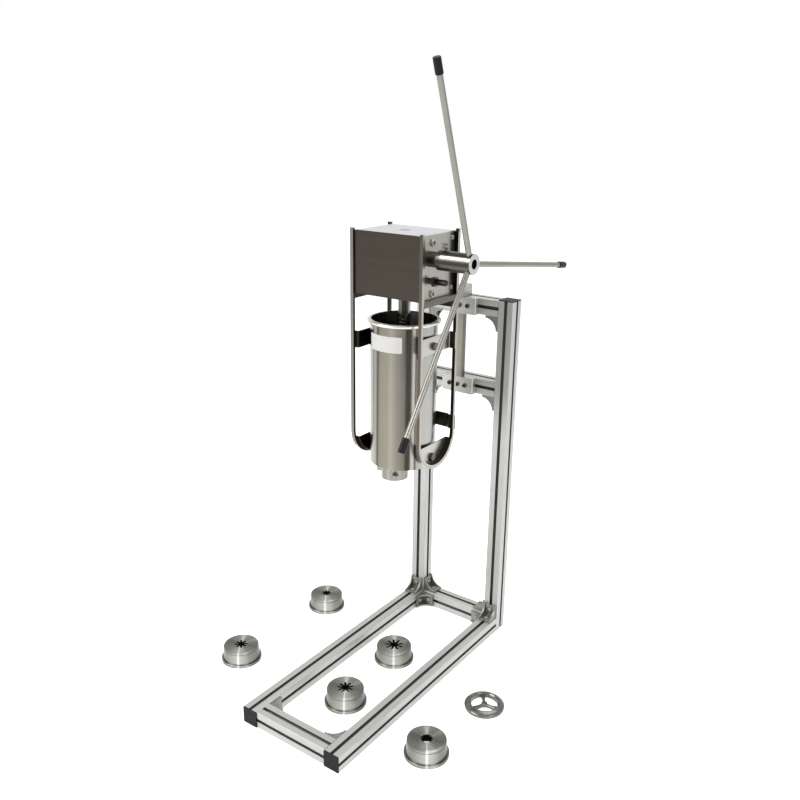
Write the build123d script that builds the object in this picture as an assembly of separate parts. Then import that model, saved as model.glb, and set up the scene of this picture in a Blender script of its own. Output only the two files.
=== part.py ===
from build123d import *
import math
import os

# Manual churro press on a floor stand.  Millimetres, +Z up, +X to the operator's right, -Y to the front.
# The origin is on the floor, under the middle of the stand's rear cross rail.

# ---- slotted aluminium profile of the stand
profile = 40.0
profile_corner = 2.0
slot_opening = 8.2
slot_lip = 4.5
slot_depth = 12.3
slot_width_inside = 20.0
slot_shoulder = 3.0
core_bore = 6.8

# ---- stand
stand_width = 276.0
rail_length = 650.0
post_height = 885.0
lower_rail_top = 685.0
cap_thickness = 2.0
cap_stub_length = 12.0
cap_stub_clearance = 0.1

# ---- cast corner brackets and their fasteners
gusset_leg = 36.0
gusset_width = 34.0
gusset_flange = 4.5
gusset_rib = 4.0
gusset_tip = 6.0
gusset_bolt_reach = 20.0
bolt_diameter = 6.0
bolt_head_diameter = 11.0
bolt_head_height = 3.4
bolt_hole_clearance = 0.3
nut_bore_clearance = 0.05
nut_length = 14.0
nut_width = 17.0
nut_thickness = 4.0
nut_neck_clearance = 0.4

# ---- mounting of the head on the two cross rails
block_width = 89.0
block_depth = 16.0
block_height = 40.0
block_corner = 3.0
block_bolt_pitch = 22.0
column_width = 25.0
arm_width = 25.0
arm_height = 28.0
arm_wall = 2.5
arm_corner = 3.0
arm_end_y = 0.0

# ---- bar frames that carry the head
head_reach = 265.0
frame_width = 190.0
bar_width = 8.0
bar_thickness = 6.5
frame_outer_radius = 71.0
frame_turn_rise = 72.0
frame_over_box = 4.0
bearer_height = 12.0
strap_thickness = 3.0
strap_height = 33.0
strap_joggle = 4.0
strap_land = 17.0
strap_bend = 6.0

# ---- gearbox of bent sheet
sheet = 2.0
box_over_posts = 44.0
box_height = 137.0
box_inset = 11.0
bend_radius = 2.0
tray_flange = 24.0
panel_gap = 0.3
panel_screw_diameter = 6.0
panel_screw_front_head = 16.0
panel_screw_rear_head = 10.0
panel_screw_head_height = 4.0
panel_screw_front = 45.0
panel_screw_front_low = 12.0
panel_screw_front_high = 18.0
panel_screw_rear = 9.0
panel_screw_rear_low = 16.0
panel_screw_rear_high = 14.0

# ---- drive: shaft, pinion and rack
shaft_forward = 30.0
shaft_rise = 87.0
shaft_diameter = 20.0
gear_module = 2.5
pinion_teeth = 18
pinion_width = 20.0
pressure_angle = 20.0
gear_backlash = 0.4
tooth_root_factor = 1.25
rack_diameter = 22.0
rack_tooth_margin = 20.0
running_clearance = 0.08
fit_clearance = 0.03
boss_diameter = 33.0
boss_spigot_diameter = 26.0
boss_length_right = 26.0
boss_length_left = 12.0
boss_end_wall = 3.0

# ---- lever hub, levers and grips
hub_diameter = 42.0
hub_length = 82.0
hub_gap = 0.3
hub_recess = 10.0
hub_screw_offset = 11.0
hub_screw_diameter = 8.0
hub_screw_nut = 13.0
hub_screw_nut_height = 6.5
hub_screw_head_height = 5.0
hub_screw_reach = 37.0
lever_count = 3
lever_diameter = 12.0
lever_reach = 412.0
lever_inset = 9.0
lever_splay = 12.7
lever_root = 12.5
lever_first_angle = 112.67
grip_diameter = 15.5
grip_length = 31.0
grip_wall_end = 4.0
grip_round = 2.0

# ---- guide bushes
bush_diameter = 27.0
bush_flange_diameter = 40.0
bush_flange = 4.0
bush_drop = 44.0
upper_bush_height = 8.0

# ---- cylinder, piston and outlet
cylinder_inner_diameter = 147.0
cylinder_wall = 1.5
cylinder_drop = 55.0
cylinder_height = 334.0
rim_tube_diameter = 7.6
rim_overlap = 0.5
floor_thickness = 2.0
piston_height = 14.0
piston_rest_gap = 4.0
piston_top_gap = 4.0
piston_clearance = 0.5
seal_width = 5.0
seal_depth = 4.0
seal_clearance = 0.05
rod_neck_diameter = 16.0
piston_nut_diameter = 30.0
piston_nut_height = 8.0
outlet_forward = 30.0
spout_outer_diameter = 52.0
spout_inner_diameter = 48.0
spout_length = 22.0
peg_diameter = 5.0
peg_reach = 2.4
peg_drop = 12.0
ring_diameter = 62.0
ring_gap = 0.3
ring_lip = 4.0
ring_lip_opening = 40.0
ring_top_gap = 3.0
lug_reach = 44.5
lug_width = 14.0
lug_height = 9.0
lug_drop = 9.0
lug_count = 3
lug_first_angle = -50.0
die_thickness = 8.0
die_star_diameter = 24.0
die_star_points = 8

# ---- side plates and the bolts that hold the cylinder
plate_sheet = 2.0
plate_inset = 15.0
upper_plate_drop = 30.0
upper_plate_height = 38.0
upper_bolt_drop = 22.0
lower_plate_drop = 18.0
lower_bolt_drop = 49.0
seat_gap = 0.1
cylinder_bolt_diameter = 8.0
cylinder_bolt_head = 15.0
cylinder_bolt_head_height = 5.0
washer_thickness = 1.6
upper_washer_diameter = 18.0
lower_washer_diameter = 20.0
cylinder_boss_diameter = 16.0

# ---- pull plunger that pins the shaft keeper
plunger_drop = 46.0
plunger_sleeve_diameter = 14.0
plunger_sleeve_length = 10.0
plunger_hex = 19.0
plunger_hex_length = 9.0
plunger_pin_diameter = 6.0
plunger_chamber_diameter = 10.4
plunger_nose_wall = 3.0
plunger_end_wall = 2.0
plunger_collar_diameter = 10.0
plunger_collar_length = 2.0
plunger_nose_reach = 5.0
plunger_knob_diameter = 13.0
plunger_knob_length = 27.0
plunger_knob_gap = 0.5
spring_wire = 1.0
spring_diameter = 9.6
spring_turns = 4
keeper_thickness = 4.0
keeper_width = 32.0
keeper_groove_diameter = 16.0
keeper_groove_gap = 0.5
keeper_over = 12.0
keeper_under = 10.0

# ---- loose nozzle discs and spoked ring that lie on the floor
disc_diameter = 90.0
disc_flange_diameter = 98.0
disc_height = 38.0
disc_flange = 7.0
disc_wall = 6.0
disc_top = 7.0
disc_edge = 2.0
star_inner_share = 0.45
disc_one_place = (-304.6, -191.6)
disc_one_star = 27.0
disc_one_points = 8
disc_two_place = (-9.5, -277.0)
disc_two_star = 45.0
disc_two_points = 9
disc_three_place = (1.0, -481.5)
disc_three_star = 38.0
disc_three_points = 9
disc_four_place = (-316.8, -504.5)
disc_four_star = 33.0
disc_four_points = 8
disc_five_place = (249.6, -511.8)
disc_five_star = 27.0
disc_five_points = 11
spoke_ring_place = (269.2, -302.6)
spoke_ring_diameter = 92.0
spoke_ring_opening = 62.0
spoke_ring_height = 12.0
spoke_width = 9.0
spoke_height = 8.0
spoke_hub_diameter = 14.0
spoke_count = 3
spoke_first_angle = 54.0

# ---- places that follow from the sizes above
half = profile / 2
post_x = stand_width / 2 - half
inner_x = stand_width / 2 - profile
cross_length = 2 * inner_x
front_face_y = -half
box_bottom = post_height + box_over_posts
box_top = box_bottom + box_height
shaft_height = box_bottom + shaft_rise
cylinder_top = box_bottom - cylinder_drop
cylinder_bottom = cylinder_top - cylinder_height
frame_turn_height = cylinder_bottom + frame_turn_rise
frame_top = box_top + frame_over_box
rail_front_y = front_face_y - rail_length
axis_y = -head_reach
front_leg_back_y = axis_y - frame_outer_radius + bar_thickness
rear_leg_front_y = axis_y + frame_outer_radius - bar_thickness
rear_leg_back_y = axis_y + frame_outer_radius
strap_front_y = rear_leg_back_y + strap_joggle
strap_back_y = strap_front_y + strap_thickness
frame_x = frame_width / 2
leg_inner_x = frame_x - bar_width
box_x = frame_x - box_inset
box_inner_x = box_x - sheet
plate_x = frame_x - plate_inset
shaft_y = axis_y - shaft_forward
pinion_radius = gear_module * pinion_teeth / 2
rack_pitch_line = shaft_forward - pinion_radius
tooth_pitch = math.pi * gear_module
cylinder_radius = cylinder_inner_diameter / 2
cylinder_outer_radius = cylinder_radius + cylinder_wall
floor_top = cylinder_bottom + floor_thickness
piston_bottom = floor_top + piston_rest_gap
stroke = cylinder_height - floor_thickness - piston_rest_gap - piston_height - piston_top_gap
outlet_y = axis_y - outlet_forward
spout_bottom = cylinder_bottom - spout_length
die_bottom = spout_bottom - ring_gap - die_thickness
ring_bottom = die_bottom - ring_lip
ring_top = cylinder_bottom - ring_top_gap
upper_plate_top = cylinder_top - upper_plate_drop
upper_plate_bottom = upper_plate_top - upper_plate_height
upper_bolt_height = upper_plate_top - upper_bolt_drop
lower_plate_top = frame_turn_height - lower_plate_drop
lower_bolt_height = frame_turn_height - lower_bolt_drop
hub_start_x = box_x + boss_length_right + hub_gap
hub_end_x = hub_start_x + hub_length
lever_x = hub_end_x - lever_inset
plunger_z = shaft_height - plunger_drop


def cyl(radius, length):
    """A cylinder that stands on the local XY plane."""
    return Cylinder(radius, length, align=(Align.CENTER, Align.CENTER, Align.MIN))


def block(x0, x1, y0, y1, z0, z1):
    """A box between two corners."""
    corner = Box(x1 - x0, y1 - y0, z1 - z0, align=(Align.MIN, Align.MIN, Align.MIN))
    return Pos(x0, y0, z0) * corner


def turned(points, place):
    """A turned piece from its half profile of (radius, height) points, on a plane's normal."""
    outline = make_face(Polyline([(r, 0, h) for r, h in points], close=True))
    return place * revolve(outline, Axis.Z)


def plane_at(origin, normal, x_dir):
    """A working plane from its origin, normal and X direction."""
    return Plane(origin=origin, x_dir=x_dir, z_dir=normal)


def side_plane(side, x, y, z):
    """A plane on a side panel, whose normal points outward on the side given as -1 or 1."""
    return plane_at((side * x, y, z), (side, 0, 0), (0, 1, 0))


def along(start, direction, distance):
    """A point at a distance from another along a direction."""
    return tuple(s + d * distance for s, d in zip(start, direction))


def star(outer_radius, points):
    """A star outline with rounded-off proportions for piping dough."""
    inner_radius = outer_radius * star_inner_share
    corners = []
    for index in range(2 * points):
        radius = outer_radius if index % 2 == 0 else inner_radius
        angle = math.pi * index / points + math.pi / 2
        corners.append((radius * math.cos(angle), radius * math.sin(angle)))
    return make_face(Polyline(corners, close=True))


# ---------------------------------------------------------------- stand


def slot_section():
    """The T-shaped slot in the profile's +Y face."""
    mouth = slot_opening / 2
    inside = slot_width_inside / 2
    lip = half - slot_lip
    shoulder = lip - slot_shoulder
    bottom = half - slot_depth
    floor_half = inside - (shoulder - bottom)
    right = [(mouth, half + 1), (mouth, lip), (inside, lip), (inside, shoulder), (floor_half, bottom)]
    left = [(-x, y) for x, y in reversed(right)]
    return make_face(Polyline(right + left, close=True))


def profile_bar(length):
    """A length of slotted profile along Z, with a slot in each face and a bore in the core."""
    section = RectangleRounded(profile, profile, profile_corner) - Circle(core_bore / 2)
    slot = slot_section()
    for turn in range(4):
        section -= Rot(0, 0, 90 * turn) * slot
    return extrude(section, length)


def bar_along_x(y, z):
    """A cross rail between the posts or side rails."""
    return Pos(-inner_x, y, z) * Rot(0, 90, 0) * profile_bar(cross_length)


def base_rail(side):
    """A side rail on the floor, from the post's front face forward."""
    return Pos(side * post_x, front_face_y, half) * Rot(90, 0, 0) * profile_bar(rail_length)


def post(side):
    """An upright at the back of the stand."""
    return Pos(side * post_x, 0, 0) * profile_bar(post_height)


def end_cap(place):
    """A plastic cap over a profile's end, with a stub in the core bore."""
    plate = extrude(RectangleRounded(profile, profile, profile_corner), cap_thickness)
    stub = cyl(core_bore / 2 - cap_stub_clearance, cap_stub_length)
    return place * (plate + Pos(0, 0, -cap_stub_length) * stub)


def end_caps():
    """Four caps: two rail fronts and two post tops."""
    caps = []
    for side in (-1, 1):
        caps.append(end_cap(plane_at((side * post_x, 0, post_height), (0, 0, 1), (1, 0, 0))))
        caps.append(end_cap(plane_at((side * post_x, rail_front_y, half), (0, -1, 0), (1, 0, 0))))
    return caps


def gusset_places():
    """Each bracket's corner point with the directions of its two flanges."""
    places = []
    for side in (-1, 1):
        inner = side * inner_x
        inward = (-side, 0, 0)
        places.append(((side * post_x, front_face_y, profile), (0, -1, 0), (0, 0, 1)))
        places.append(((inner, 0, profile), inward, (0, 0, 1)))
        places.append(((inner, front_face_y, half), (0, -1, 0), inward))
        places.append(((inner, rail_front_y + profile, half), (0, 1, 0), inward))
        places.append(((inner, 0, post_height - profile), inward, (0, 0, -1)))
        places.append(((inner, 0, lower_rail_top - profile), inward, (0, 0, -1)))
    return places


def gusset():
    """A cast corner bracket: two flanges along X and Z and a tapered rib on each side."""
    reach = gusset_leg
    angle = Polyline(
        [(0, 0), (reach, 0), (reach, gusset_flange), (gusset_flange, gusset_flange),
         (gusset_flange, reach), (0, reach)], close=True)
    rib = Polyline([(0, 0), (reach, 0), (reach, gusset_tip), (gusset_tip, reach), (0, reach)], close=True)
    wall = Plane.XZ * make_face(angle)
    body = extrude(wall, gusset_width / 2, both=True)
    for side in (-1, 1):
        face = Pos(0, side * (gusset_width - gusset_rib) / 2, 0) * (Plane.XZ * make_face(rib))
        body += extrude(face, gusset_rib / 2, both=True)
    hole = cyl(bolt_diameter / 2 + bolt_hole_clearance, 3 * gusset_flange)
    body -= Pos(gusset_bolt_reach, 0, -gusset_flange) * hole
    body -= Pos(-gusset_flange, 0, gusset_bolt_reach) * Rot(0, 90, 0) * hole
    return body


def gussets():
    """All corner brackets of the stand."""
    bracket = gusset()
    return [plane_at(corner, second, first) * bracket for corner, first, second in gusset_places()]


def gusset_bolt_planes():
    """The seat of each bracket bolt: on the flange's outside, normal away from the member."""
    planes = []
    for corner, first, second in gusset_places():
        for run, out in ((first, second), (second, first)):
            on_face = along(corner, run, gusset_bolt_reach)
            planes.append(plane_at(along(on_face, out, gusset_flange), out, run))
    return planes


def bolt(seat_depth):
    """A round-headed bolt with its head on the local XY plane and its shank below."""
    shank_length = seat_depth + slot_lip + nut_thickness
    head = cyl(bolt_head_diameter / 2, bolt_head_height)
    head = chamfer(head.edges().sort_by(Axis.Z)[-1], bolt_head_height / 2)
    shank = Pos(0, 0, -shank_length) * cyl(bolt_diameter / 2, shank_length)
    return head + shank


def slot_nut():
    """A slot nut below the local XY plane, which is the lip's inner face: body, neck and bore."""
    body = Box(nut_length, nut_width, nut_thickness, align=(Align.CENTER, Align.CENTER, Align.MAX))
    neck = Box(nut_length, slot_opening - nut_neck_clearance, slot_lip / 2,
               align=(Align.CENTER, Align.CENTER, Align.MIN))
    bore = cyl(bolt_diameter / 2 + nut_bore_clearance, slot_lip + nut_thickness + 2)
    return body + neck - Pos(0, 0, -nut_thickness - 1) * bore


def gusset_bolts():
    """The bolts through the bracket flanges."""
    one = bolt(gusset_flange)
    return [seat * one for seat in gusset_bolt_planes()]


def mount_bolt_planes():
    """The seats of the three bolts in each mounting block."""
    planes = []
    for top in (post_height, lower_rail_top):
        for step in (-1, 0, 1):
            origin = (step * block_bolt_pitch, front_face_y - block_depth, top - half)
            planes.append(plane_at(origin, (0, -1, 0), (1, 0, 0)))
    return planes


def slot_nuts():
    """A nut in the slot behind every bolt of the stand."""
    one = slot_nut()
    nuts = [seat * Pos(0, 0, -gusset_flange - slot_lip) * one for seat in gusset_bolt_planes()]
    nuts += [seat * Pos(0, 0, -block_depth - slot_lip) * one for seat in mount_bolt_planes()]
    return nuts


# ---------------------------------------------------------------- mounting of the head


def mount_block(top):
    """A block bolted to the front of a cross rail, flush with the rail's top."""
    body = block(-block_width / 2, block_width / 2, front_face_y - block_depth, front_face_y,
                 top - block_height, top)
    body = fillet(body.edges().filter_by(Axis.Z), block_corner)
    hole = cyl(bolt_diameter / 2 + bolt_hole_clearance, block_depth + 2)
    for seat in mount_bolt_planes():
        if abs(seat.origin.Z - (top - half)) < half:
            body -= seat * Pos(0, 0, -block_depth - 1) * hole
    return body


def mount_bolts():
    """The bolts through both mounting blocks."""
    one = bolt(block_depth)
    return [seat * one for seat in mount_bolt_planes()]


def mount_column():
    """The bar that stands between the two mounting blocks."""
    body = block(-column_width / 2, column_width / 2, front_face_y - block_depth, front_face_y,
                 lower_rail_top, post_height - block_height)
    return fillet(body.edges().filter_by(Axis.Z), profile_corner)


def mount_arm():
    """The tube that reaches from the upper cross rail forward to the head's rear strap."""
    length = arm_end_y - strap_back_y
    outer = RectangleRounded(arm_width, arm_height, arm_corner)
    inner = RectangleRounded(arm_width - 2 * arm_wall, arm_height - 2 * arm_wall, arm_corner - arm_wall / 2)
    tube = extrude(outer - inner, length)
    seat = plane_at((0, strap_back_y, post_height + arm_height / 2), (0, 1, 0), (1, 0, 0))
    return seat * tube


# ---------------------------------------------------------------- bar frames


def frame_outline(outer_radius, top):
    """The filled outline of a U about the head's axis, in the YZ plane."""
    bowl = Pos(axis_y, frame_turn_height) * Circle(outer_radius)
    height = top - frame_turn_height
    legs = Pos(axis_y, frame_turn_height + height / 2) * Rectangle(2 * outer_radius, height)
    return bowl + legs


def u_frame(side):
    """A flat bar bent to a U, with the bearer under the gearbox welded between its legs."""
    inner_radius = frame_outer_radius - bar_thickness
    face = frame_outline(frame_outer_radius, frame_top) - frame_outline(inner_radius, frame_top + 1)
    middle = box_bottom - bearer_height / 2
    face += Pos(axis_y, middle) * Rectangle(2 * inner_radius + 1, bearer_height)
    start = leg_inner_x if side > 0 else -frame_x
    return Pos(start, 0, 0) * extrude(Plane.YZ * face, bar_width)


def rear_strap(bottom):
    """A joggled strap across the backs of the rear legs, which passes behind the cylinder."""
    land = frame_x - strap_land
    front = [(frame_x, rear_leg_back_y), (land, rear_leg_back_y), (land - strap_bend, strap_front_y)]
    front += [(-x, y) for x, y in reversed(front)]
    back = [(x, y + strap_thickness) for x, y in reversed(front)]
    return Pos(0, 0, bottom) * extrude(make_face(Polyline(front + back, close=True)), strap_height)


def channel_face(web_x, thickness):
    """A channel in plan: web toward the head's middle, flanges turned outward onto the legs."""
    y0 = front_leg_back_y
    y1 = rear_leg_front_y
    inner = web_x - thickness
    outline = Pos((inner + frame_x) / 2, (y0 + y1) / 2) * Rectangle(frame_x - inner, y1 - y0)
    hollow_width = frame_x - web_x + 1
    hollow = Rectangle(hollow_width, y1 - y0 - 2 * thickness)
    outline -= Pos(web_x + hollow_width / 2, (y0 + y1) / 2) * hollow
    corners = outline.vertices().group_by(Axis.X)[0]
    outline = fillet(corners, bend_radius + thickness)
    inside = [v for v in outline.vertices() if abs(v.X - web_x) < 0.01 and y0 + 1 < v.Y < y1 - 1]
    return fillet(inside, bend_radius)


def channel(side, web_x, thickness, bottom, top):
    """A bent side channel between two heights, mirrored for the left side."""
    body = Pos(0, 0, bottom) * extrude(channel_face(web_x, thickness), top - bottom)
    return body if side > 0 else mirror(body, Plane.YZ)


# ---------------------------------------------------------------- gearbox


def gearbox_front():
    """The front panel, which lies between the front legs."""
    y = front_leg_back_y
    return block(panel_gap - leg_inner_x, leg_inner_x - panel_gap, y - sheet, y, box_bottom, box_top)


def gearbox_back():
    """The back panel, which lies between the rear legs."""
    y = rear_leg_front_y
    return block(panel_gap - leg_inner_x, leg_inner_x - panel_gap, y, y + sheet, box_bottom, box_top)


def front_screw_planes(side):
    """The seats of the two large screws in the front half of a side panel."""
    y = front_leg_back_y + panel_screw_front
    heights = (box_bottom + panel_screw_front_low, box_top - panel_screw_front_high)
    return [side_plane(side, box_x, y, z) for z in heights]


def rear_screw_planes(side):
    """The seats of the two small screws near the rear edge of a side panel."""
    y = rear_leg_front_y - panel_screw_rear
    heights = (box_bottom + panel_screw_rear_low, box_top - panel_screw_rear_high)
    return [side_plane(side, box_x, y, z) for z in heights]


def panel_screw_planes(side):
    """The seats of the four screws in a side panel."""
    return front_screw_planes(side) + rear_screw_planes(side)


def gearbox_side(side):
    """A side panel with the holes for the shaft boss, the screws and, on the right, the plunger."""
    body = channel(side, box_x, sheet, box_bottom, box_top - sheet)
    cutter = Pos(0, 0, -3 * sheet) * cyl(boss_spigot_diameter / 2 + fit_clearance, 6 * sheet)
    body -= side_plane(side, box_x, shaft_y, shaft_height) * cutter
    hole = Pos(0, 0, -3 * sheet) * cyl(panel_screw_diameter / 2 + bolt_hole_clearance, 6 * sheet)
    for seat in panel_screw_planes(side):
        body -= seat * hole
    if side > 0:
        sleeve = Pos(0, 0, -3 * sheet) * cyl(plunger_sleeve_diameter / 2 + fit_clearance, 6 * sheet)
        body -= side_plane(side, box_x, shaft_y, plunger_z) * sleeve
    return body


def tray(z_plate, z_flange, half_width):
    """A sheet with a flange on the left and right that lies against the side panels."""
    y0 = front_leg_back_y
    y1 = rear_leg_front_y
    body = block(-half_width, half_width, y0, y1, z_plate, z_plate + sheet)
    low = min(z_plate, z_flange)
    high = max(z_plate + sheet, z_flange)
    for side in (-1, 1):
        inner = side * (box_inner_x - sheet)
        outer = side * box_inner_x
        edge = bend_radius + sheet
        body += block(min(inner, outer), max(inner, outer), y0 + edge, y1 - edge, low, high)
    tap = Pos(0, 0, -4 * sheet) * cyl(panel_screw_diameter / 2 + fit_clearance, 5 * sheet)
    for side in (-1, 1):
        for seat in panel_screw_planes(side):
            if low < seat.origin.Z < high:
                body -= seat * tap
    return body


def gearbox_top():
    """The lid over the side panels, with its side flanges and the hole for the upper bush."""
    body = tray(box_top - sheet, box_top - tray_flange, box_x)
    return body - Pos(0, axis_y, box_top - 2 * sheet) * cyl(bush_diameter / 2 + fit_clearance, 3 * sheet)


def gearbox_bottom():
    """The floor of the gearbox between the side panels, with the hole for the long bush."""
    body = tray(box_bottom, box_bottom + tray_flange, box_inner_x)
    return body - Pos(0, axis_y, box_bottom - sheet) * cyl(bush_diameter / 2 + fit_clearance, 3 * sheet)


def panel_screw(head_diameter):
    """A round-headed screw that reaches through a side panel and the flange behind it."""
    head = cyl(head_diameter / 2, panel_screw_head_height)
    head = chamfer(head.edges().sort_by(Axis.Z)[-1], panel_screw_head_height / 2)
    return head + Pos(0, 0, -3 * sheet) * cyl(panel_screw_diameter / 2, 3 * sheet)


def panel_screws():
    """The eight screws through the side panels into the flanges of the lid and the floor."""
    large = panel_screw(panel_screw_front_head)
    small = panel_screw(panel_screw_rear_head)
    screws = [seat * large for side in (-1, 1) for seat in front_screw_planes(side)]
    return screws + [seat * small for side in (-1, 1) for seat in rear_screw_planes(side)]


def shaft_bearings():
    """The two flanged bosses that the drive shaft turns in: open on the right, closed on the left."""
    bore = shaft_diameter / 2 + running_clearance
    outer = boss_diameter / 2
    spigot = boss_spigot_diameter / 2
    right = [(bore, -sheet), (spigot, -sheet), (spigot, 0), (outer, 0),
             (outer, boss_length_right), (bore, boss_length_right)]
    end = boss_length_left + boss_end_wall
    left = [(bore, -sheet), (spigot, -sheet), (spigot, 0), (outer, 0), (outer, end), (0, end),
            (0, boss_length_left), (bore, boss_length_left)]
    return [turned(right, side_plane(1, box_x, shaft_y, shaft_height)),
            turned(left, side_plane(-1, box_x, shaft_y, shaft_height))]


def guide_bushes():
    """The long bush through the gearbox floor and the short one under the lid."""
    bore = rack_diameter / 2 + running_clearance
    outer = bush_diameter / 2
    flange = bush_flange_diameter / 2
    low = box_bottom + sheet
    long_bush = [(bore, low - bush_drop - sheet), (outer, low - bush_drop - sheet), (outer, low), (flange, low),
                 (flange, low + bush_flange), (bore, low + bush_flange)]
    high = box_top - sheet
    short_bush = [(bore, high - upper_bush_height), (flange, high - upper_bush_height), (flange, high),
                  (outer, high), (outer, box_top), (bore, box_top)]
    place = Plane((0, axis_y, 0))
    return [turned(long_bush, place), turned(short_bush, place)]


# ---------------------------------------------------------------- drive


def drive_shaft():
    """The shaft along X, with the groove for the keeper."""
    left_end = box_x + boss_length_left - hub_gap
    length = left_end + hub_end_x - hub_recess
    shaft = cyl(shaft_diameter / 2, length)
    groove_width = keeper_thickness + 2 * keeper_groove_gap
    ring = cyl(shaft_diameter, groove_width) - cyl(keeper_groove_diameter / 2, groove_width)
    groove_start = left_end + box_inner_x - keeper_thickness - keeper_groove_gap
    shaft -= Pos(0, 0, groove_start) * ring
    return plane_at((-left_end, shaft_y, shaft_height), (1, 0, 0), (0, 1, 0)) * shaft


def involute_point(base_radius, angle, offset):
    """A point of the involute of the base circle, turned by an offset."""
    x = base_radius * (math.cos(angle) + angle * math.sin(angle))
    y = base_radius * (math.sin(angle) - angle * math.cos(angle))
    return (x * math.cos(offset) - y * math.sin(offset), x * math.sin(offset) + y * math.cos(offset))


def pinion_face():
    """The toothed outline of the pinion, with a tooth on the local X axis."""
    base = pinion_radius * math.cos(math.radians(pressure_angle))
    tip = pinion_radius + gear_module
    root = pinion_radius - tooth_root_factor * gear_module
    pitch_roll = math.tan(math.radians(pressure_angle))
    half_tooth = (math.pi * gear_module / 2 - gear_backlash) / (2 * pinion_radius)
    offset = -(half_tooth + pitch_roll - math.radians(pressure_angle))
    tip_roll = math.sqrt((tip / base) ** 2 - 1)
    steps = 3
    flank = [involute_point(base, tip_roll * step / steps, offset) for step in range(steps + 1)]
    foot = (root * math.cos(offset), root * math.sin(offset))
    lower = [foot] + flank
    upper = [(x, -y) for x, y in reversed(lower)]
    points = []
    for tooth in range(pinion_teeth):
        turn = 2 * math.pi * tooth / pinion_teeth
        for x, y in lower + upper:
            points.append((x * math.cos(turn) - y * math.sin(turn), x * math.sin(turn) + y * math.cos(turn)))
    return make_face(Polyline(points, close=True))


def pinion():
    """The pinion on the middle of the shaft, one tooth pointing at the rack."""
    blank = extrude(pinion_face() - Circle(shaft_diameter / 2 + fit_clearance), pinion_width)
    seat = plane_at((-pinion_width / 2, shaft_y, shaft_height), (1, 0, 0), (0, 1, 0))
    return seat * blank


def rack_rod():
    """The round rack: teeth toward the shaft, a neck at the bottom for the piston."""
    bottom = piston_bottom + piston_nut_height + 1
    shoulder = piston_bottom + piston_height
    rod = Pos(0, axis_y, shoulder) * cyl(rack_diameter / 2, box_top - shoulder)
    rod += Pos(0, axis_y, piston_bottom + 1) * cyl(rod_neck_diameter / 2, shoulder - piston_bottom - 1)
    depth = gear_module * (1 + tooth_root_factor)
    root = rack_pitch_line - tooth_root_factor * gear_module
    tip = rack_pitch_line + gear_module
    slope = math.tan(math.radians(pressure_angle))
    gap_at_pitch = tooth_pitch / 2 + gear_backlash
    root_half = gap_at_pitch / 2 - slope * (rack_pitch_line - root)
    top_half = gap_at_pitch / 2 + slope * (tip + 1 - rack_pitch_line)
    gap = Polyline([(root, -root_half), (root, root_half), (tip + 1, top_half), (tip + 1, -top_half)],
                   close=True)
    lowest = math.ceil((stroke + rack_tooth_margin) / tooth_pitch)
    highest = math.floor(rack_tooth_margin / tooth_pitch)
    flat_low = shaft_height - (lowest + 0.5) * tooth_pitch
    flat_high = shaft_height + (highest + 0.5) * tooth_pitch
    wide = rack_diameter / 2 + 1
    rod -= block(-wide, wide, axis_y - wide, axis_y - tip, flat_low, flat_high)
    face = plane_at((-wide, axis_y, shaft_height), (1, 0, 0), (0, -1, 0)) * make_face(gap)
    cutter = extrude(face, 2 * wide)
    for step in range(-lowest, highest + 1):
        rod -= Pos(0, 0, step * tooth_pitch) * cutter
    return rod


def lever_hub():
    """The long hub on the shaft's end, with the lever sockets and the tapped hole for its screw."""
    hub = cyl(hub_diameter / 2, hub_length) - cyl(shaft_diameter / 2 + fit_clearance, hub_length)
    hub = plane_at((hub_start_x, shaft_y, shaft_height), (1, 0, 0), (0, 1, 0)) * hub
    for number in range(lever_count):
        hub -= lever_plane(number) * Pos(0, 0, lever_root - hub_gap) * cyl(
            lever_diameter / 2 + fit_clearance, hub_diameter)
    screw = cyl(hub_screw_diameter / 2 + fit_clearance, hub_diameter)
    return hub - hub_screw_plane() * screw


def hub_screw_plane():
    """The axis of the hub's set screw, from the shaft's centre line upward."""
    return plane_at((hub_start_x + hub_screw_offset, shaft_y, shaft_height), (0, 0, 1), (1, 0, 0))


def hub_screw():
    """The set screw with its head, and the lock nut on the hub."""
    start = shaft_diameter / 2 + fit_clearance
    seat = hub_diameter / 2
    reach = hub_screw_reach - hub_screw_head_height
    screw = Pos(0, 0, start) * cyl(hub_screw_diameter / 2, reach - start)
    hexagon = RegularPolygon(hub_screw_nut / 2, 6, major_radius=False)
    screw += Pos(0, 0, reach) * extrude(hexagon, hub_screw_head_height)
    nut = extrude(hexagon - Circle(hub_screw_diameter / 2 + fit_clearance), hub_screw_nut_height)
    return [hub_screw_plane() * screw, hub_screw_plane() * Pos(0, 0, seat) * nut]


def lever_plane(number):
    """A lever's axis, from the shaft's centre line outward, splayed a little away from the gearbox."""
    angle = math.radians(lever_first_angle - number * 360 / lever_count)
    origin = (lever_x, shaft_y, shaft_height)
    out = (0, math.cos(angle), math.sin(angle))
    direction = Vector(lever_splay, lever_reach * out[1], lever_reach * out[2]).normalized()
    across = (0, -out[2], out[1])
    return Plane(origin=origin, x_dir=across, z_dir=direction)


def lever(number):
    """A round rod from its socket in the hub to inside its grip."""
    rod = Pos(0, 0, lever_root) * cyl(lever_diameter / 2, lever_reach - lever_root - grip_wall_end - hub_gap)
    return lever_plane(number) * rod


def lever_grips():
    """The plastic grips on the lever ends."""
    grip = cyl(grip_diameter / 2, grip_length)
    grip = fillet(grip.edges().filter_by(GeomType.CIRCLE), grip_round)
    grip -= cyl(lever_diameter / 2 + fit_clearance, grip_length - grip_wall_end)
    start = lever_reach - grip_length
    return [lever_plane(number) * Pos(0, 0, start) * grip for number in range(lever_count)]


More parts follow.
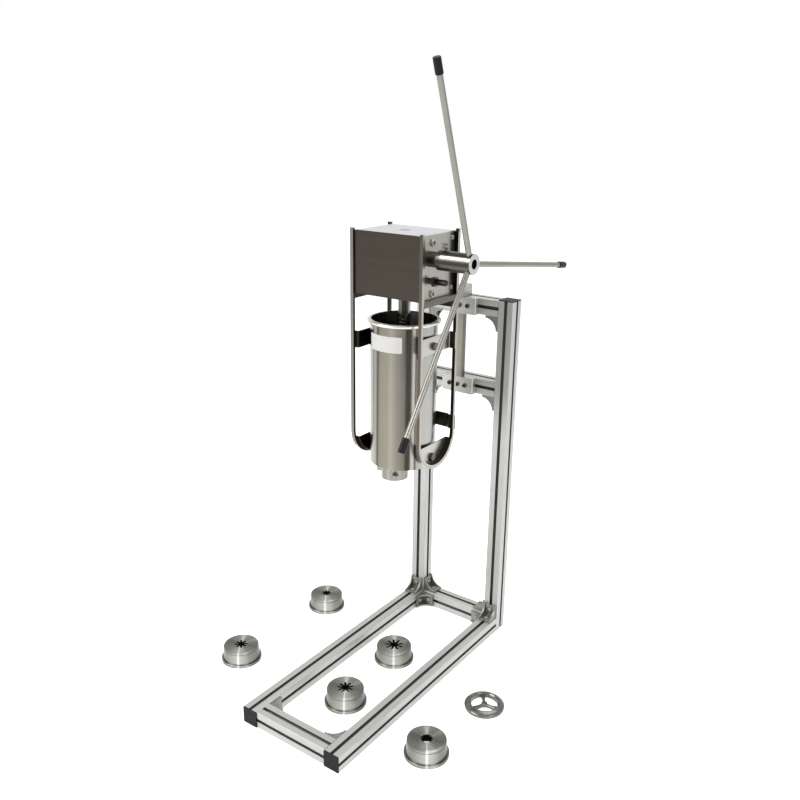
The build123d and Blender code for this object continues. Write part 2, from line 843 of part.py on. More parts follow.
# ---------------------------------------------------------------- piston, cylinder and outlet


def piston_disc():
    """The piston with its seal groove, a counterbore for the nut and a hole for the rod's neck."""
    outer = cylinder_radius - piston_clearance
    groove_low = (piston_height - seal_width) / 2
    groove_high = groove_low + seal_width
    counter = piston_nut_diameter / 2 + bolt_hole_clearance
    hole = rod_neck_diameter / 2 + fit_clearance
    deep = piston_nut_height + 1
    outline = [(counter, 0), (outer, 0), (outer, groove_low), (outer - seal_depth, groove_low),
               (outer - seal_depth, groove_high), (outer, groove_high), (outer, piston_height),
               (hole, piston_height), (hole, deep), (counter, deep)]
    return turned(outline, Plane((0, axis_y, piston_bottom)))


def piston_seal():
    """The ring in the piston's groove that wipes the cylinder."""
    outer = cylinder_radius - seal_clearance
    inner = cylinder_radius - piston_clearance - seal_depth
    low = (piston_height - seal_width) / 2
    outline = [(inner, low), (outer, low), (outer, low + seal_width), (inner, low + seal_width)]
    return turned(outline, Plane((0, axis_y, piston_bottom)))


def piston_nut():
    """The nut under the piston, in its counterbore."""
    outline = [(rod_neck_diameter / 2 + fit_clearance, 1), (piston_nut_diameter / 2, 1),
               (piston_nut_diameter / 2, piston_nut_height + 1),
               (rod_neck_diameter / 2 + fit_clearance, piston_nut_height + 1)]
    return turned(outline, Plane((0, axis_y, piston_bottom)))


def cylinder():
    """The dough cylinder: wall, rolled rim, floor, offset spout with its pegs, and the bolt bosses."""
    body = cyl(cylinder_outer_radius, cylinder_height)
    rim_radius = rim_tube_diameter / 2
    ring_centre = cylinder_outer_radius + rim_radius - rim_overlap
    body += Pos(0, 0, cylinder_height - rim_radius) * Torus(ring_centre, rim_radius)
    for level in (lower_bolt_height, upper_bolt_height):
        for side in (-1, 1):
            seat = plane_at((0, 0, level - cylinder_bottom), (side, 0, 0), (0, 1, 0))
            body += seat * cyl(cylinder_boss_diameter / 2, plate_x - plate_sheet)
    body -= Pos(0, 0, floor_thickness) * cyl(cylinder_radius, cylinder_height)
    for level in (lower_bolt_height, upper_bolt_height):
        for side in (-1, 1):
            seat = plane_at((0, 0, level - cylinder_bottom), (side, 0, 0), (0, 1, 0))
            tapped = cyl(cylinder_bolt_diameter / 2 + nut_bore_clearance, plate_x)
            body -= seat * Pos(0, 0, cylinder_outer_radius) * tapped
    spout = cyl(spout_outer_diameter / 2, spout_length + floor_thickness / 2)
    for side in (-1, 1):
        peg = plane_at((0, 0, spout_length - peg_drop), (0, side, 0), (1, 0, 0))
        spout += peg * cyl(peg_diameter / 2, spout_outer_diameter / 2 + peg_reach)
    body += Pos(0, -outlet_forward, -spout_length) * spout
    bore = cyl(spout_inner_diameter / 2, spout_length + 2 * floor_thickness)
    body -= Pos(0, -outlet_forward, -spout_length - 1) * bore
    return Pos(0, axis_y, cylinder_bottom) * body


def outlet_ring():
    """The bayonet ring nut: lugs for the hand, an inner lip for the die and a track for the pegs."""
    radius = ring_diameter / 2
    height = ring_top - ring_bottom
    body = cyl(radius, height)
    for number in range(lug_count):
        turn = Rot(0, 0, lug_first_angle + number * 360 / lug_count)
        lug = Box(lug_reach, lug_width, lug_height, align=(Align.MIN, Align.CENTER, Align.MIN))
        lug = fillet(lug.edges().filter_by(Axis.Z).sort_by(Axis.X)[-2:], lug_width / 3)
        body += turn * Pos(0, 0, lug_drop) * lug
    wall = spout_outer_diameter / 2 + ring_gap
    body -= Pos(0, 0, ring_lip) * cyl(wall, height)
    body -= cyl(ring_lip_opening / 2, height)
    track_reach = spout_outer_diameter / 2 + peg_reach + ring_gap
    track_height = peg_diameter + 2 * ring_gap
    peg_level = cylinder_bottom - peg_drop - ring_bottom
    track_bottom = peg_level - track_height / 2
    body -= Pos(0, 0, track_bottom) * cyl(track_reach, track_height)
    entry = Box(peg_diameter + 2 * ring_gap, 2 * track_reach, height, align=(Align.CENTER, Align.CENTER, Align.MIN))
    entry &= cyl(track_reach, height)
    body -= Rot(0, 0, 45) * Pos(0, 0, peg_level) * entry
    return Pos(0, outlet_y, ring_bottom) * body


def fitted_die():
    """The star die that the ring nut clamps under the spout."""
    disc = Circle(spout_outer_diameter / 2) - star(die_star_diameter / 2, die_star_points)
    return Pos(0, outlet_y, die_bottom) * extrude(disc, die_thickness)


# ---------------------------------------------------------------- side plates


def side_plate_upper(side):
    """A bent channel between the legs that steadies the cylinder's top."""
    body = channel(side, plate_x, plate_sheet, upper_plate_bottom, upper_plate_top)
    hole = Pos(0, 0, -3 * sheet) * cyl(cylinder_bolt_diameter / 2 + bolt_hole_clearance, 6 * sheet)
    return body - side_plane(side, plate_x, axis_y, upper_bolt_height) * hole


def side_plate_lower(side):
    """A dished plate in the U's bottom: a web with a flange that follows the bar."""
    outer_radius = frame_outer_radius - bar_thickness - seat_gap
    above = Pos(axis_y, lower_plate_top + frame_outer_radius) * Rectangle(
        3 * frame_outer_radius, 2 * frame_outer_radius)
    disc = Pos(axis_y, frame_turn_height) * Circle(outer_radius) - above
    band = disc - Pos(axis_y, frame_turn_height) * Circle(outer_radius - plate_sheet)
    body = extrude(Plane.YZ * disc, plate_sheet)
    body += extrude(Plane.YZ * band, plate_sheet + plate_inset)
    body = Pos(plate_x - plate_sheet, 0, 0) * body
    hole = Pos(0, 0, -3 * sheet) * cyl(cylinder_bolt_diameter / 2 + bolt_hole_clearance, 6 * sheet)
    body -= side_plane(1, plate_x, axis_y, lower_bolt_height) * hole
    return body if side > 0 else mirror(body, Plane.YZ)


def cylinder_bolts():
    """The bolts with washers that hold the cylinder between the side plates."""
    pieces = []
    depth = plate_x - cylinder_outer_radius - 1
    for level, washer in ((lower_bolt_height, lower_washer_diameter),
                          (upper_bolt_height, upper_washer_diameter)):
        disc = cyl(washer / 2, washer_thickness) - cyl(
            cylinder_bolt_diameter / 2 + bolt_hole_clearance, washer_thickness)
        hexagon = RegularPolygon(cylinder_bolt_head / 2, 6, major_radius=False)
        screw = Pos(0, 0, washer_thickness) * extrude(hexagon, cylinder_bolt_head_height)
        screw += Pos(0, 0, -depth) * cyl(cylinder_bolt_diameter / 2, depth + washer_thickness)
        for side in (-1, 1):
            seat = side_plane(side, plate_x, axis_y, level)
            pieces += [seat * disc, seat * screw]
    return pieces


# ---------------------------------------------------------------- plunger and keeper


def plunger_plane():
    """The plunger's axis, outward from the right panel's outer face."""
    return side_plane(1, box_x, shaft_y, plunger_z)


def plunger_body():
    """The sleeve in the right panel with its hexagon, and the chamber for the spring."""
    sleeve = Pos(0, 0, -sheet) * cyl(plunger_sleeve_diameter / 2, plunger_sleeve_length + sheet)
    hexagon = RegularPolygon(plunger_hex / 2, 6, major_radius=False)
    body = sleeve + Pos(0, 0, plunger_sleeve_length) * extrude(hexagon, plunger_hex_length)
    length = plunger_sleeve_length + plunger_hex_length
    body -= Pos(0, 0, -sheet) * cyl(plunger_pin_diameter / 2 + running_clearance, length + sheet)
    chamber_start = plunger_nose_wall - sheet
    body -= Pos(0, 0, chamber_start) * cyl(
        plunger_chamber_diameter / 2, length - plunger_end_wall - chamber_start)
    return plunger_plane() * body


def plunger_pin():
    """The pin with its spring collar and the pull knob on its outer end."""
    length = plunger_sleeve_length + plunger_hex_length
    nose = sheet + plunger_nose_reach
    pin = Pos(0, 0, -nose) * cyl(plunger_pin_diameter / 2, nose + length + plunger_knob_gap)
    collar_start = plunger_nose_wall - sheet + plunger_knob_gap
    pin += Pos(0, 0, collar_start) * cyl(plunger_collar_diameter / 2, plunger_collar_length)
    knob = cyl(plunger_knob_diameter / 2, plunger_knob_length)
    knob = fillet(knob.edges().sort_by(Axis.Z)[-1], plunger_knob_diameter / 3)
    pin += Pos(0, 0, length + plunger_knob_gap) * knob
    return plunger_plane() * pin


def plunger_spring():
    """The coil between the pin's collar and the end of the chamber."""
    start = plunger_nose_wall - sheet + plunger_knob_gap + plunger_collar_length
    end = plunger_sleeve_length + plunger_hex_length - plunger_end_wall
    height = end - start - spring_wire - 0.4
    radius = (spring_diameter - spring_wire) / 2
    path = Helix(height / spring_turns, height, radius)
    wire = Plane(origin=path @ 0, z_dir=path % 0, x_dir=(1, 0, 0)) * Rectangle(spring_wire, spring_wire)
    coil = sweep(wire, path, is_frenet=True)
    return plunger_plane() * Pos(0, 0, start + spring_wire / 2 + 0.2) * coil


def shaft_keeper():
    """The forked plate in the shaft's groove, pinned against the right panel by the plunger."""
    top = keeper_over
    bottom = -plunger_drop - keeper_under
    plate = Pos(0, (top + bottom) / 2) * Rectangle(keeper_width, top - bottom)
    plate = fillet(plate.vertices(), keeper_under / 2)
    slot_radius = keeper_groove_diameter / 2 + bolt_hole_clearance
    plate -= Circle(slot_radius)
    plate -= Pos(0, top / 2 + 1) * Rectangle(2 * slot_radius, top + 2)
    plate -= Pos(0, -plunger_drop) * Circle(plunger_pin_diameter / 2 + bolt_hole_clearance)
    seat = plane_at((box_inner_x - keeper_thickness, shaft_y, shaft_height), (1, 0, 0), (0, 1, 0))
    return seat * extrude(plate, keeper_thickness)


# ---------------------------------------------------------------- loose pieces on the floor


def nozzle_disc(place, star_diameter, points):
    """A turned nozzle cup, open below, with a flange on the floor and a star cut in its top."""
    radius = disc_diameter / 2
    flange = disc_flange_diameter / 2
    inner = radius - disc_wall
    under = disc_height - disc_top
    outline = [(inner, 0), (flange, 0), (flange, disc_flange), (radius, disc_flange),
               (radius, disc_height - disc_edge), (radius - disc_edge, disc_height),
               (0, disc_height), (0, under), (inner, under)]
    body = turned(outline, Plane.XY)
    body -= Pos(0, 0, under - 1) * extrude(star(star_diameter / 2, points), disc_top + 2)
    return Pos(place[0], place[1], 0) * body


def spoke_ring():
    """The flat ring with three spokes that meet in a small hub."""
    radius = spoke_ring_diameter / 2
    ring = Circle(radius) - Circle(spoke_ring_opening / 2)
    body = extrude(ring, spoke_ring_height)
    body = chamfer(body.edges().group_by(Axis.Z)[-1], disc_edge / 2)
    inside = cyl(spoke_hub_diameter / 2, spoke_height)
    for number in range(spoke_count):
        spoke = Box((spoke_ring_opening + radius) / 2, spoke_width, spoke_height,
                    align=(Align.MIN, Align.CENTER, Align.MIN))
        inside += Rot(0, 0, spoke_first_angle + number * 360 / spoke_count) * spoke
    inside &= cyl(radius - disc_edge, spoke_height)
    return Pos(spoke_ring_place[0], spoke_ring_place[1], 0) * (body + inside)


# ---------------------------------------------------------------- all nodes


def as_group(pieces):
    """One piece, or several separate pieces that share a node."""
    if isinstance(pieces, list):
        solids = []
        for piece in pieces:
            solids += piece.solids()
        return Compound(children=solids) if len(solids) > 1 else solids[0]
    solids = pieces.solids()
    return solids[0] if len(solids) == 1 else Compound(children=list(solids))


def nodes():
    """Every node's name with its shape."""
    shapes = {
        "base_rail_left": base_rail(-1),
        "base_rail_right": base_rail(1),
        "base_cross_front": bar_along_x(rail_front_y + half, half),
        "base_cross_rear": bar_along_x(0, half),
        "post_left": post(-1),
        "post_right": post(1),
        "cross_rail_upper": bar_along_x(0, post_height - half),
        "cross_rail_lower": bar_along_x(0, lower_rail_top - half),
        "end_caps": end_caps(),
        "gussets": gussets(),
        "gusset_bolts": gusset_bolts(),
        "slot_nuts": slot_nuts(),
        "mount_block_upper": mount_block(post_height),
        "mount_block_lower": mount_block(lower_rail_top),
        "mount_bolts": mount_bolts(),
        "mount_column": mount_column(),
        "mount_arm": mount_arm(),
        "u_frame_left": u_frame(-1),
        "u_frame_right": u_frame(1),
        "rear_strap_lower": rear_strap(frame_turn_height),
        "rear_strap_upper": rear_strap(box_bottom - strap_height),
        "side_plate_upper_left": side_plate_upper(-1),
        "side_plate_upper_right": side_plate_upper(1),
        "side_plate_lower_left": side_plate_lower(-1),
        "side_plate_lower_right": side_plate_lower(1),
        "cylinder_bolts": cylinder_bolts(),
        "gearbox_front": gearbox_front(),
        "gearbox_back": gearbox_back(),
        "gearbox_side_left": gearbox_side(-1),
        "gearbox_side_right": gearbox_side(1),
        "gearbox_top": gearbox_top(),
        "gearbox_bottom": gearbox_bottom(),
        "panel_screws": panel_screws(),
        "shaft_bearings": shaft_bearings(),
        "guide_bushes": guide_bushes(),
        "shaft_keeper": shaft_keeper(),
        "drive_shaft": drive_shaft(),
        "pinion": pinion(),
        "lever_hub": lever_hub(),
        "hub_screw": hub_screw(),
        "lever_one": lever(0),
        "lever_two": lever(1),
        "lever_three": lever(2),
        "lever_grips": lever_grips(),
        "rack_rod": rack_rod(),
        "piston_disc": piston_disc(),
        "piston_seal": piston_seal(),
        "piston_nut": piston_nut(),
        "cylinder": cylinder(),
        "outlet_ring": outlet_ring(),
        "fitted_die": fitted_die(),
        "plunger_body": plunger_body(),
        "plunger_pin": plunger_pin(),
        "plunger_spring": plunger_spring(),
        "nozzle_disc_one": nozzle_disc(disc_one_place, disc_one_star, disc_one_points),
        "nozzle_disc_two": nozzle_disc(disc_two_place, disc_two_star, disc_two_points),
        "nozzle_disc_three": nozzle_disc(disc_three_place, disc_three_star, disc_three_points),
        "nozzle_disc_four": nozzle_disc(disc_four_place, disc_four_star, disc_four_points),
        "nozzle_disc_five": nozzle_disc(disc_five_place, disc_five_star, disc_five_points),
        "spoke_ring": spoke_ring(),
    }
    return shapes


os.makedirs("parts", exist_ok=True)
for name, shape in nodes().items():
    export_step(as_group(shape), f"parts/{name}.step")
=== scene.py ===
"""Manual churro press on a floor stand: finishes, small hardware, studio and camera.

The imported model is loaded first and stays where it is.  Each sub-assembly is a class that dresses
its own nodes and builds the pieces that stand for, or finish, some of them.  All sizes are metres
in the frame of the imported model: +Z up, +X to the operator's right, -Y to the front.
"""

from __future__ import annotations

import logging
import math
from dataclasses import dataclass
from enum import Enum
from functools import cached_property
from itertools import pairwise
from typing import Callable, Iterable, Sequence

import bmesh
import bpy
from mathutils import Matrix, Vector


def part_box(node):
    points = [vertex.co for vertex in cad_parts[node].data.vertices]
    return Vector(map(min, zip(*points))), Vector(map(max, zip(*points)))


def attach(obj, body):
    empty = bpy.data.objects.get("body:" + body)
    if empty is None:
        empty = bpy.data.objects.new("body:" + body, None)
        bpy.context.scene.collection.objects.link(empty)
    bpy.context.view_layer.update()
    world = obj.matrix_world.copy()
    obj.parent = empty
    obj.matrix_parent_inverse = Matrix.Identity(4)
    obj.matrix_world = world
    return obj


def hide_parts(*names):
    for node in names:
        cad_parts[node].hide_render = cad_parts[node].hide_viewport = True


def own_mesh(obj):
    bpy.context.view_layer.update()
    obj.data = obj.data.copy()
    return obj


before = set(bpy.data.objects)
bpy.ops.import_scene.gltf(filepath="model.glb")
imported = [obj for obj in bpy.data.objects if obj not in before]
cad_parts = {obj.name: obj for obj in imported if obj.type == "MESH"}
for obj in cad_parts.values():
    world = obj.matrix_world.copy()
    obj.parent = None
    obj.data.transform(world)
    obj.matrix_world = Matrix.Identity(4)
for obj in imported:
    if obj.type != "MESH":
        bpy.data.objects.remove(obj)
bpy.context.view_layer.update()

LOG = logging.getLogger("churro_press")
logging.basicConfig(level=logging.INFO, format="%(name)s: %(message)s")

MM = 0.001
TURN = 2 * math.pi
NODES: dict[str, bpy.types.Object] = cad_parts
WELD = 0.002 * MM  # how far apart the loose triangles' corners may be to be joined
ROLL_SEED = 3  # the seed of the chance by which screws are rolled

FRONT, BACK, UP = Vector((0, -1, 0)), Vector((0, 1, 0)), Vector((0, 0, 1))
HEAD_Y = -0.265  # the axis of the cylinder and the rack, and the middle of the bar frames
HEAD = (0.0, HEAD_Y, 0.0)
OUTLET = (0.0, -0.295, 0.0)
SHAFT = (0.0, -0.295, 1.016)  # on the axis of the shaft and the hub, which runs along X
PLUNGER = (0.0, -0.295, 0.970)  # on the axis of the pull plunger, which runs along X

NO_TURN = (0.0, 0.0, 0.0)
Z_TO_X = (0.0, math.pi / 2, 0.0)  # turns a pattern about Z into one about X

Point = tuple[float, float, float]
Colour = tuple[float, float, float, float]
Bands = tuple[tuple[float, str], ...]
Profile = tuple[tuple[float, float], ...]
Socket = bpy.types.NodeSocket
Chosen = Callable[[Vector, Vector], bool]


# ------------------------------------------------------------------------------------------------
# colours and node trees
# ------------------------------------------------------------------------------------------------


def linear(code: str) -> Colour:
    """Turn a written sRGB colour into the linear one that the shaders take.

    Args:
        code: The colour as six hexadecimal digits after a hash sign.

    Returns:
        Red, green, blue and an alpha of one.
    """
    parts = [int(code[place : place + 2], 16) / 255 for place in (1, 3, 5)]
    red, green, blue = (c / 12.92 if c <= 0.04045 else ((c + 0.055) / 1.055) ** 2.4 for c in parts)
    return (red, green, blue, 1.0)


def toned(colour: Colour, factor: float) -> Colour:
    """Make a colour lighter or darker.

    Args:
        colour: A linear colour.
        factor: What each channel is multiplied by.

    Returns:
        The new colour, held at or below one.
    """
    red, green, blue = (min(1.0, channel * factor) for channel in colour[:3])
    return (red, green, blue, 1.0)


class Nodes:
    """A node tree, with short calls that add nodes and join them."""

    def __init__(self, tree: bpy.types.NodeTree) -> None:
        """Empty the tree and keep it.

        Args:
            tree: The tree.
        """
        self.tree = tree
        tree.nodes.clear()

    def feed(self, socket: Socket, value: object) -> None:
        """Link an input to an output, or set it.

        Args:
            socket: The input.
            value: An output socket, or a plain value.
        """
        if isinstance(value, bpy.types.NodeSocket):
            self.tree.links.new(value, socket)
        else:
            socket.default_value = value

    def node(
        self, kind: str, inputs: dict[str | int, object] | None = None, **settings: object
    ) -> Sequence[Socket]:
        """Add a node, set its own properties and feed its inputs.

        Args:
            kind: The node's type name.
            inputs: Output sockets or plain values, by the input's name or number.
            settings: Property names and values.

        Returns:
            The node's outputs.
        """
        made = self.tree.nodes.new(kind)
        for key, value in settings.items():
            setattr(made, key, value)
        for place, value in (inputs or {}).items():
            self.feed(made.inputs[place], value)
        return made.outputs

    def math(self, operation: str, first: object, second: object = 0.0) -> Socket:
        """A sum on one or two values.

        Args:
            operation: Blender's name for it.
            first: The first value.
            second: The second value.

        Returns:
            The value output.
        """
        return self.node("ShaderNodeMath", {0: first, 1: second}, operation=operation)[0]

    def looked_at(self) -> Socket:
        """Tell what the camera sees, also by reflection or through glass, from what lights.

        Returns:
            One for a ray that is seen, else nought.
        """
        rays = self.node("ShaderNodeLightPath")
        seen = self.math("MAXIMUM", rays["Is Camera Ray"], rays["Is Glossy Ray"])
        return self.math("MAXIMUM", seen, rays["Is Transmission Ray"])


class Graph(Nodes):
    """A material's node tree, with a short call for each kind of value that the finishes use."""

    def __init__(self, name: str) -> None:
        """Start a material that holds one Principled shader.

        Args:
            name: The material's name.
        """
        self.material = bpy.data.materials.new(name)
        self.material.use_nodes = True
        super().__init__(self.material.node_tree)
        self.shader = self.tree.nodes.new("ShaderNodeBsdfPrincipled")
        self.node("ShaderNodeOutputMaterial", {"Surface": self.shader.outputs["BSDF"]})

    def surface(self, values: dict[str, object]) -> None:
        """Feed the shader's inputs.

        Args:
            values: Output sockets or plain values, by the input's name.
        """
        for name, value in values.items():
            self.feed(self.shader.inputs[name], value)

    def place(
        self, centre: Point = (0.0, 0.0, 0.0), scale: Point = (1.0, 1.0, 1.0), turn: Point = NO_TURN
    ) -> Socket:
        """Object coordinates moved to a centre, then turned and scaled.

        Args:
            centre: The point that becomes the origin.
            scale: The scale along the turned axes.
            turn: Euler angles that bring the pattern's axes to X, Y and Z.

        Returns:
            The vector output.
        """
        source = self.node("ShaderNodeTexCoord")["Object"]
        moved = self.node("ShaderNodeVectorMath", {0: source, 1: centre}, operation="SUBTRACT")[0]
        return self.node("ShaderNodeMapping", {"Vector": moved, "Rotation": turn, "Scale": scale})[0]

    def split(self, vector: Socket) -> Sequence[Socket]:
        """The three parts of a vector."""
        return self.node("ShaderNodeSeparateXYZ", {0: vector})

    def join(self, first: Socket, second: Socket) -> Socket:
        """A vector of two parts."""
        return self.node("ShaderNodeCombineXYZ", {0: first, 1: second})[0]

    def radius(self, across: Socket, along: Socket) -> Socket:
        """The distance from an axis, from the two coordinates across it."""
        squares = [self.math("MULTIPLY", part, part) for part in (across, along)]
        return self.math("SQRT", self.math("ADD", *squares))

    def angle(self, across: Socket, along: Socket) -> Socket:
        """The angle round an axis from nought to one, with half a turn at the first coordinate."""
        return self.math("ADD", self.math("DIVIDE", self.math("ARCTAN2", along, across), TURN), 0.5)

    def noise(self, scale: float, detail: float, rough: float, vector: Socket | None = None) -> Socket:
        """A noise value from nought to one.

        Args:
            scale: Its scale.
            detail: Its octaves.
            rough: How strong the finer octaves are.
            vector: Where it is read, or none for the object's own coordinates.

        Returns:
            The value output.
        """
        where = self.place() if vector is None else vector
        values = {"Vector": where, "Scale": scale, "Detail": detail, "Roughness": rough}
        return self.node("ShaderNodeTexNoise", values)["Fac"]

    def span(
        self, value: Socket, low: float, high: float, start: float = 0.3, end: float = 0.7
    ) -> Socket:
        """Spread a value from one range over another.

        Args:
            value: The value.
            low: What it becomes at the start.
            high: What it becomes at the end.
            start: The range's start.
            end: The range's end.

        Returns:
            The value output.
        """
        return self.node("ShaderNodeMapRange", dict(enumerate((value, start, end, low, high))))[0]

    def blend(self, amount: object, first: object, second: object) -> Socket:
        """Mix two colours.

        Args:
            amount: How much of the second there is.
            first: The first colour.
            second: The second colour.

        Returns:
            The colour output.
        """
        return self.node("ShaderNodeMix", {0: amount, 6: first, 7: second}, data_type="RGBA")[2]

    def ramp(self, turn: Socket, bands: Bands) -> Socket:
        """The colour of the bands at an angle.

        Args:
            turn: The angle round the axis, from nought to one.
            bands: Angles in degrees with their colours.

        Returns:
            The colour output.
        """
        made = self.tree.nodes.new("ShaderNodeValToRGB")
        self.feed(made.inputs[0], turn)
        stops = sorted(((angle + 180) % 360 / 360, linear(code)) for angle, code in bands)
        steps = made.color_ramp.elements
        steps[0].position, steps[0].color = stops[0]
        steps[1].position, steps[1].color = stops[-1]
        for position, colour in stops[1:-1]:
            steps.new(position).color = colour
        return made.outputs[0]

    def relief(self, height: Socket, depth: float, strength: float) -> None:
        """Bend the surface's normal by a height map.

        Args:
            height: The height, from nought to one.
            depth: The real height of one, in metres.
            strength: The bump's strength.
        """
        values = {"Strength": strength, "Distance": depth, "Height": height}
        self.surface({"Normal": self.node("ShaderNodeBump", values)[0]})

    def metal(
        self,
        tone: Socket,
        marks: tuple[Socket, float, float, float],
        haze: tuple[Socket, float, float],
        rough: float,
    ) -> None:
        """Give the shader a bare metal's colour, gloss and relief.

        Args:
            tone: The colour.
            marks: The fine marks, how far they move the roughness, their depth and their strength.
            haze: The cloudy value, with what it adds to the roughness at its least and its most.
            rough: The mean roughness.
        """
        fine, swing, depth, strength = marks
        gloss = self.math("ADD", self.span(fine, rough - swing, rough + swing), self.span(*haze))
        self.surface({"Base Color": tone, "Metallic": 1.0, "Roughness": gloss})
        self.relief(fine, depth, strength)


# ------------------------------------------------------------------------------------------------
# finishes
# ------------------------------------------------------------------------------------------------


class Grain(Enum):
    """How a metal's fine marks run, with the stretch of their pattern."""

    ALONG_X = (0.02, 1.0, 1.0)
    ALONG_Y = (1.0, 0.02, 1.0)
    ALONG_Z = (1.0, 1.0, 0.02)
    FREE = (1.0, 1.0, 1.0)


@dataclass(frozen=True)
class Finish:
    """A surface finish, whose material is made when a piece first takes it."""

    name: str

    @cached_property
    def material(self) -> bpy.types.Material:
        """The finish as a material.

        Returns:
            The material, which is made once.
        """
        graph = Graph(self.name)
        self.draw(graph)
        return graph.material

    def draw(self, graph: Graph) -> None:
        """Draw the finish in a material's graph.

        Args:
            graph: The material's graph.
        """
        raise NotImplementedError


@dataclass(frozen=True)
class BrushedMetal(Finish):
    """Sheet, bar or extruded metal with fine lines along one axis and cloudy handling marks."""

    colour: str
    grain: Grain
    rough: float = 0.3
    spread: float = 0.12
    line_depth: float = 0.00004
    line_scale: float = 900.0

    def draw(self, graph: Graph) -> None:
        """Draw lines, broader streaks of the same run, and haze.

        Args:
            graph: The material's graph.
        """
        base = linear(self.colour)
        run = graph.place(scale=self.grain.value)
        lines = graph.noise(self.line_scale, 4.0, 0.7, run)
        streaks = graph.noise(self.line_scale / 7, 3.0, 0.6, run)
        haze = graph.noise(14.0, 4.0, 0.6)
        dark, light = toned(base, 1 - self.spread), toned(base, 1 + self.spread)
        tone = graph.blend(graph.span(streaks, 0.0, 1.0), dark, light)
        tone = graph.blend(graph.span(haze, 0.0, 0.5), tone, base)
        graph.metal(tone, (lines, 0.05, self.line_depth, 0.5), (haze, -0.04, 0.06), self.rough)


@dataclass(frozen=True)
class TurnedMetal(Finish):
    """Metal turned on a lathe: fine rings about an axis, with painted highlights in soft radial streaks.
    """

    colour: str
    centre: Point
    axis: Grain = Grain.ALONG_Z
    rough: float = 0.22
    # How strong the painted highlight streaks are.
    streak: float = 0.25

    def draw(self, graph: Graph) -> None:
        """Draw rings by radius and height, and painted highlight fans by direction.

        Args:
            graph: The material's graph.
        """
        base = linear(self.colour)
        turn = Z_TO_X if self.axis is Grain.ALONG_X else NO_TURN
        across, along, height = graph.split(graph.place(self.centre, turn=turn))
        radius = graph.radius(across, along)
        rings = graph.noise(700.0, 3.0, 0.65, graph.join(radius, height))
        off_axis = graph.math("ADD", radius, 0.0005)
        spoke = graph.join(*(graph.math("DIVIDE", part, off_axis) for part in (across, along)))
        highlight_fans = graph.noise(2.2, 2.0, 0.5, spoke)
        haze = graph.noise(40.0, 3.0, 0.5)
        dark, light = toned(base, 1 - self.streak), toned(base, 1 + self.streak)
        tone = graph.blend(graph.span(highlight_fans, 0.0, 1.0, 0.36, 0.64), dark, light)
        tone = graph.blend(graph.span(rings, 0.0, 0.35), tone, toned(base, 0.8))
        graph.metal(tone, (rings, 0.06, 0.00005, 0.6), (haze, -0.02, 0.04), self.rough)


@dataclass(frozen=True)
class BandedMetal(Finish):
    """Polished round metal, with painted reflections: the tall light and dark bands that a bright room
    leaves on it.
    """

    centre: Point
    bands: Bands
    axis: Grain = Grain.ALONG_Z
    rough: float = 0.2
    waver: float = 0.006
    painted_shade_end: float | None = None

    def draw(self, graph: Graph) -> None:
        """Draw the painted reflection bands by angle, painted shade up to an X, and fine lines along the
        axis.

        Args:
            graph: The material's graph.
        """
        across, along, height = graph.split(graph.place(self.centre))
        pair = (across, along) if self.axis is Grain.ALONG_Z else (along, height)
        run = graph.place(scale=self.axis.value)
        wave = graph.span(graph.noise(34.0, 2.0, 0.5, run), -self.waver, self.waver)
        tone = graph.ramp(graph.math("ADD", graph.angle(*pair), wave), self.bands)
        # Painted shade: the hub's inner end, up to the given X, is darkened.
        if self.painted_shade_end is not None:
            before = graph.math("LESS_THAN", graph.split(graph.place())[0], self.painted_shade_end)
            tone = graph.blend(graph.math("MULTIPLY", before, 0.8), tone, linear("#35322C"))
        lines = graph.noise(800.0, 3.0, 0.6, run)
        haze = graph.noise(30.0, 3.0, 0.6)
        tone = graph.blend(graph.span(lines, 0.0, 0.05), tone, (0.62, 0.61, 0.57, 1.0))
        graph.metal(tone, (lines, 0.03, 0.00002, 0.4), (haze, -0.02, 0.05), self.rough)


@dataclass(frozen=True)
class TurnedCup(Finish):
    """A lathe-turned cup: fine rings, and painted reflections in broad wedges that fan out from its axis.
    """

    centre: Point
    # Angles in degrees with the colours of the painted reflections.
    reflection_wedges: Bands = (
        (-54, "#E7E7E2"), (-50, "#B1B1AB"), (-34, "#9E9E98"), (-18, "#7A7973"), (20, "#5F5F59"),
        (52, "#6F6F69"), (70, "#94948E"), (84, "#797872"), (110, "#878681"), (124, "#D3D3CE"),
        (138, "#909089"), (165, "#75736E"), (205, "#5C5C56"), (238, "#6E6E67"), (262, "#7B7B76"),
        (282, "#979690"), (300, "#AAAAA5"), (303, "#E2E2DE"),
    )

    def draw(self, graph: Graph) -> None:
        """Draw the painted reflection wedges by angle and the rings by radius and height.

        Args:
            graph: The material's graph.
        """
        across, along, height = graph.split(graph.place(self.centre))
        wedge = graph.ramp(graph.angle(across, along), self.reflection_wedges)
        rings = graph.noise(620.0, 3.0, 0.65, graph.join(graph.radius(across, along), height))
        haze = graph.noise(50.0, 3.0, 0.5)
        tone = graph.blend(graph.span(rings, 0.0, 0.4), wedge, (0.22, 0.22, 0.2, 1.0))
        graph.metal(tone, (rings, 0.06, 0.00005, 0.5), (haze, -0.02, 0.04), 0.3)


@dataclass(frozen=True)
class PaperLabel(Finish):
    """Blank self-adhesive paper with a faint fibre and light stains."""

    colour: str

    def draw(self, graph: Graph) -> None:
        """Draw the fibre and the stains.

        Args:
            graph: The material's graph.
        """
        base = linear(self.colour)
        fibre = graph.noise(1400.0, 4.0, 0.7)
        stain = graph.noise(55.0, 3.0, 0.6)
        tone = graph.blend(graph.span(fibre, 0.0, 0.5), base, toned(base, 0.9))
        tone = graph.blend(graph.span(stain, 0.0, 0.4), tone, toned(base, 0.86))
        graph.surface({"Base Color": tone, "Roughness": graph.span(fibre, 0.42, 0.58)})
        graph.relief(fibre, 0.00003, 0.4)


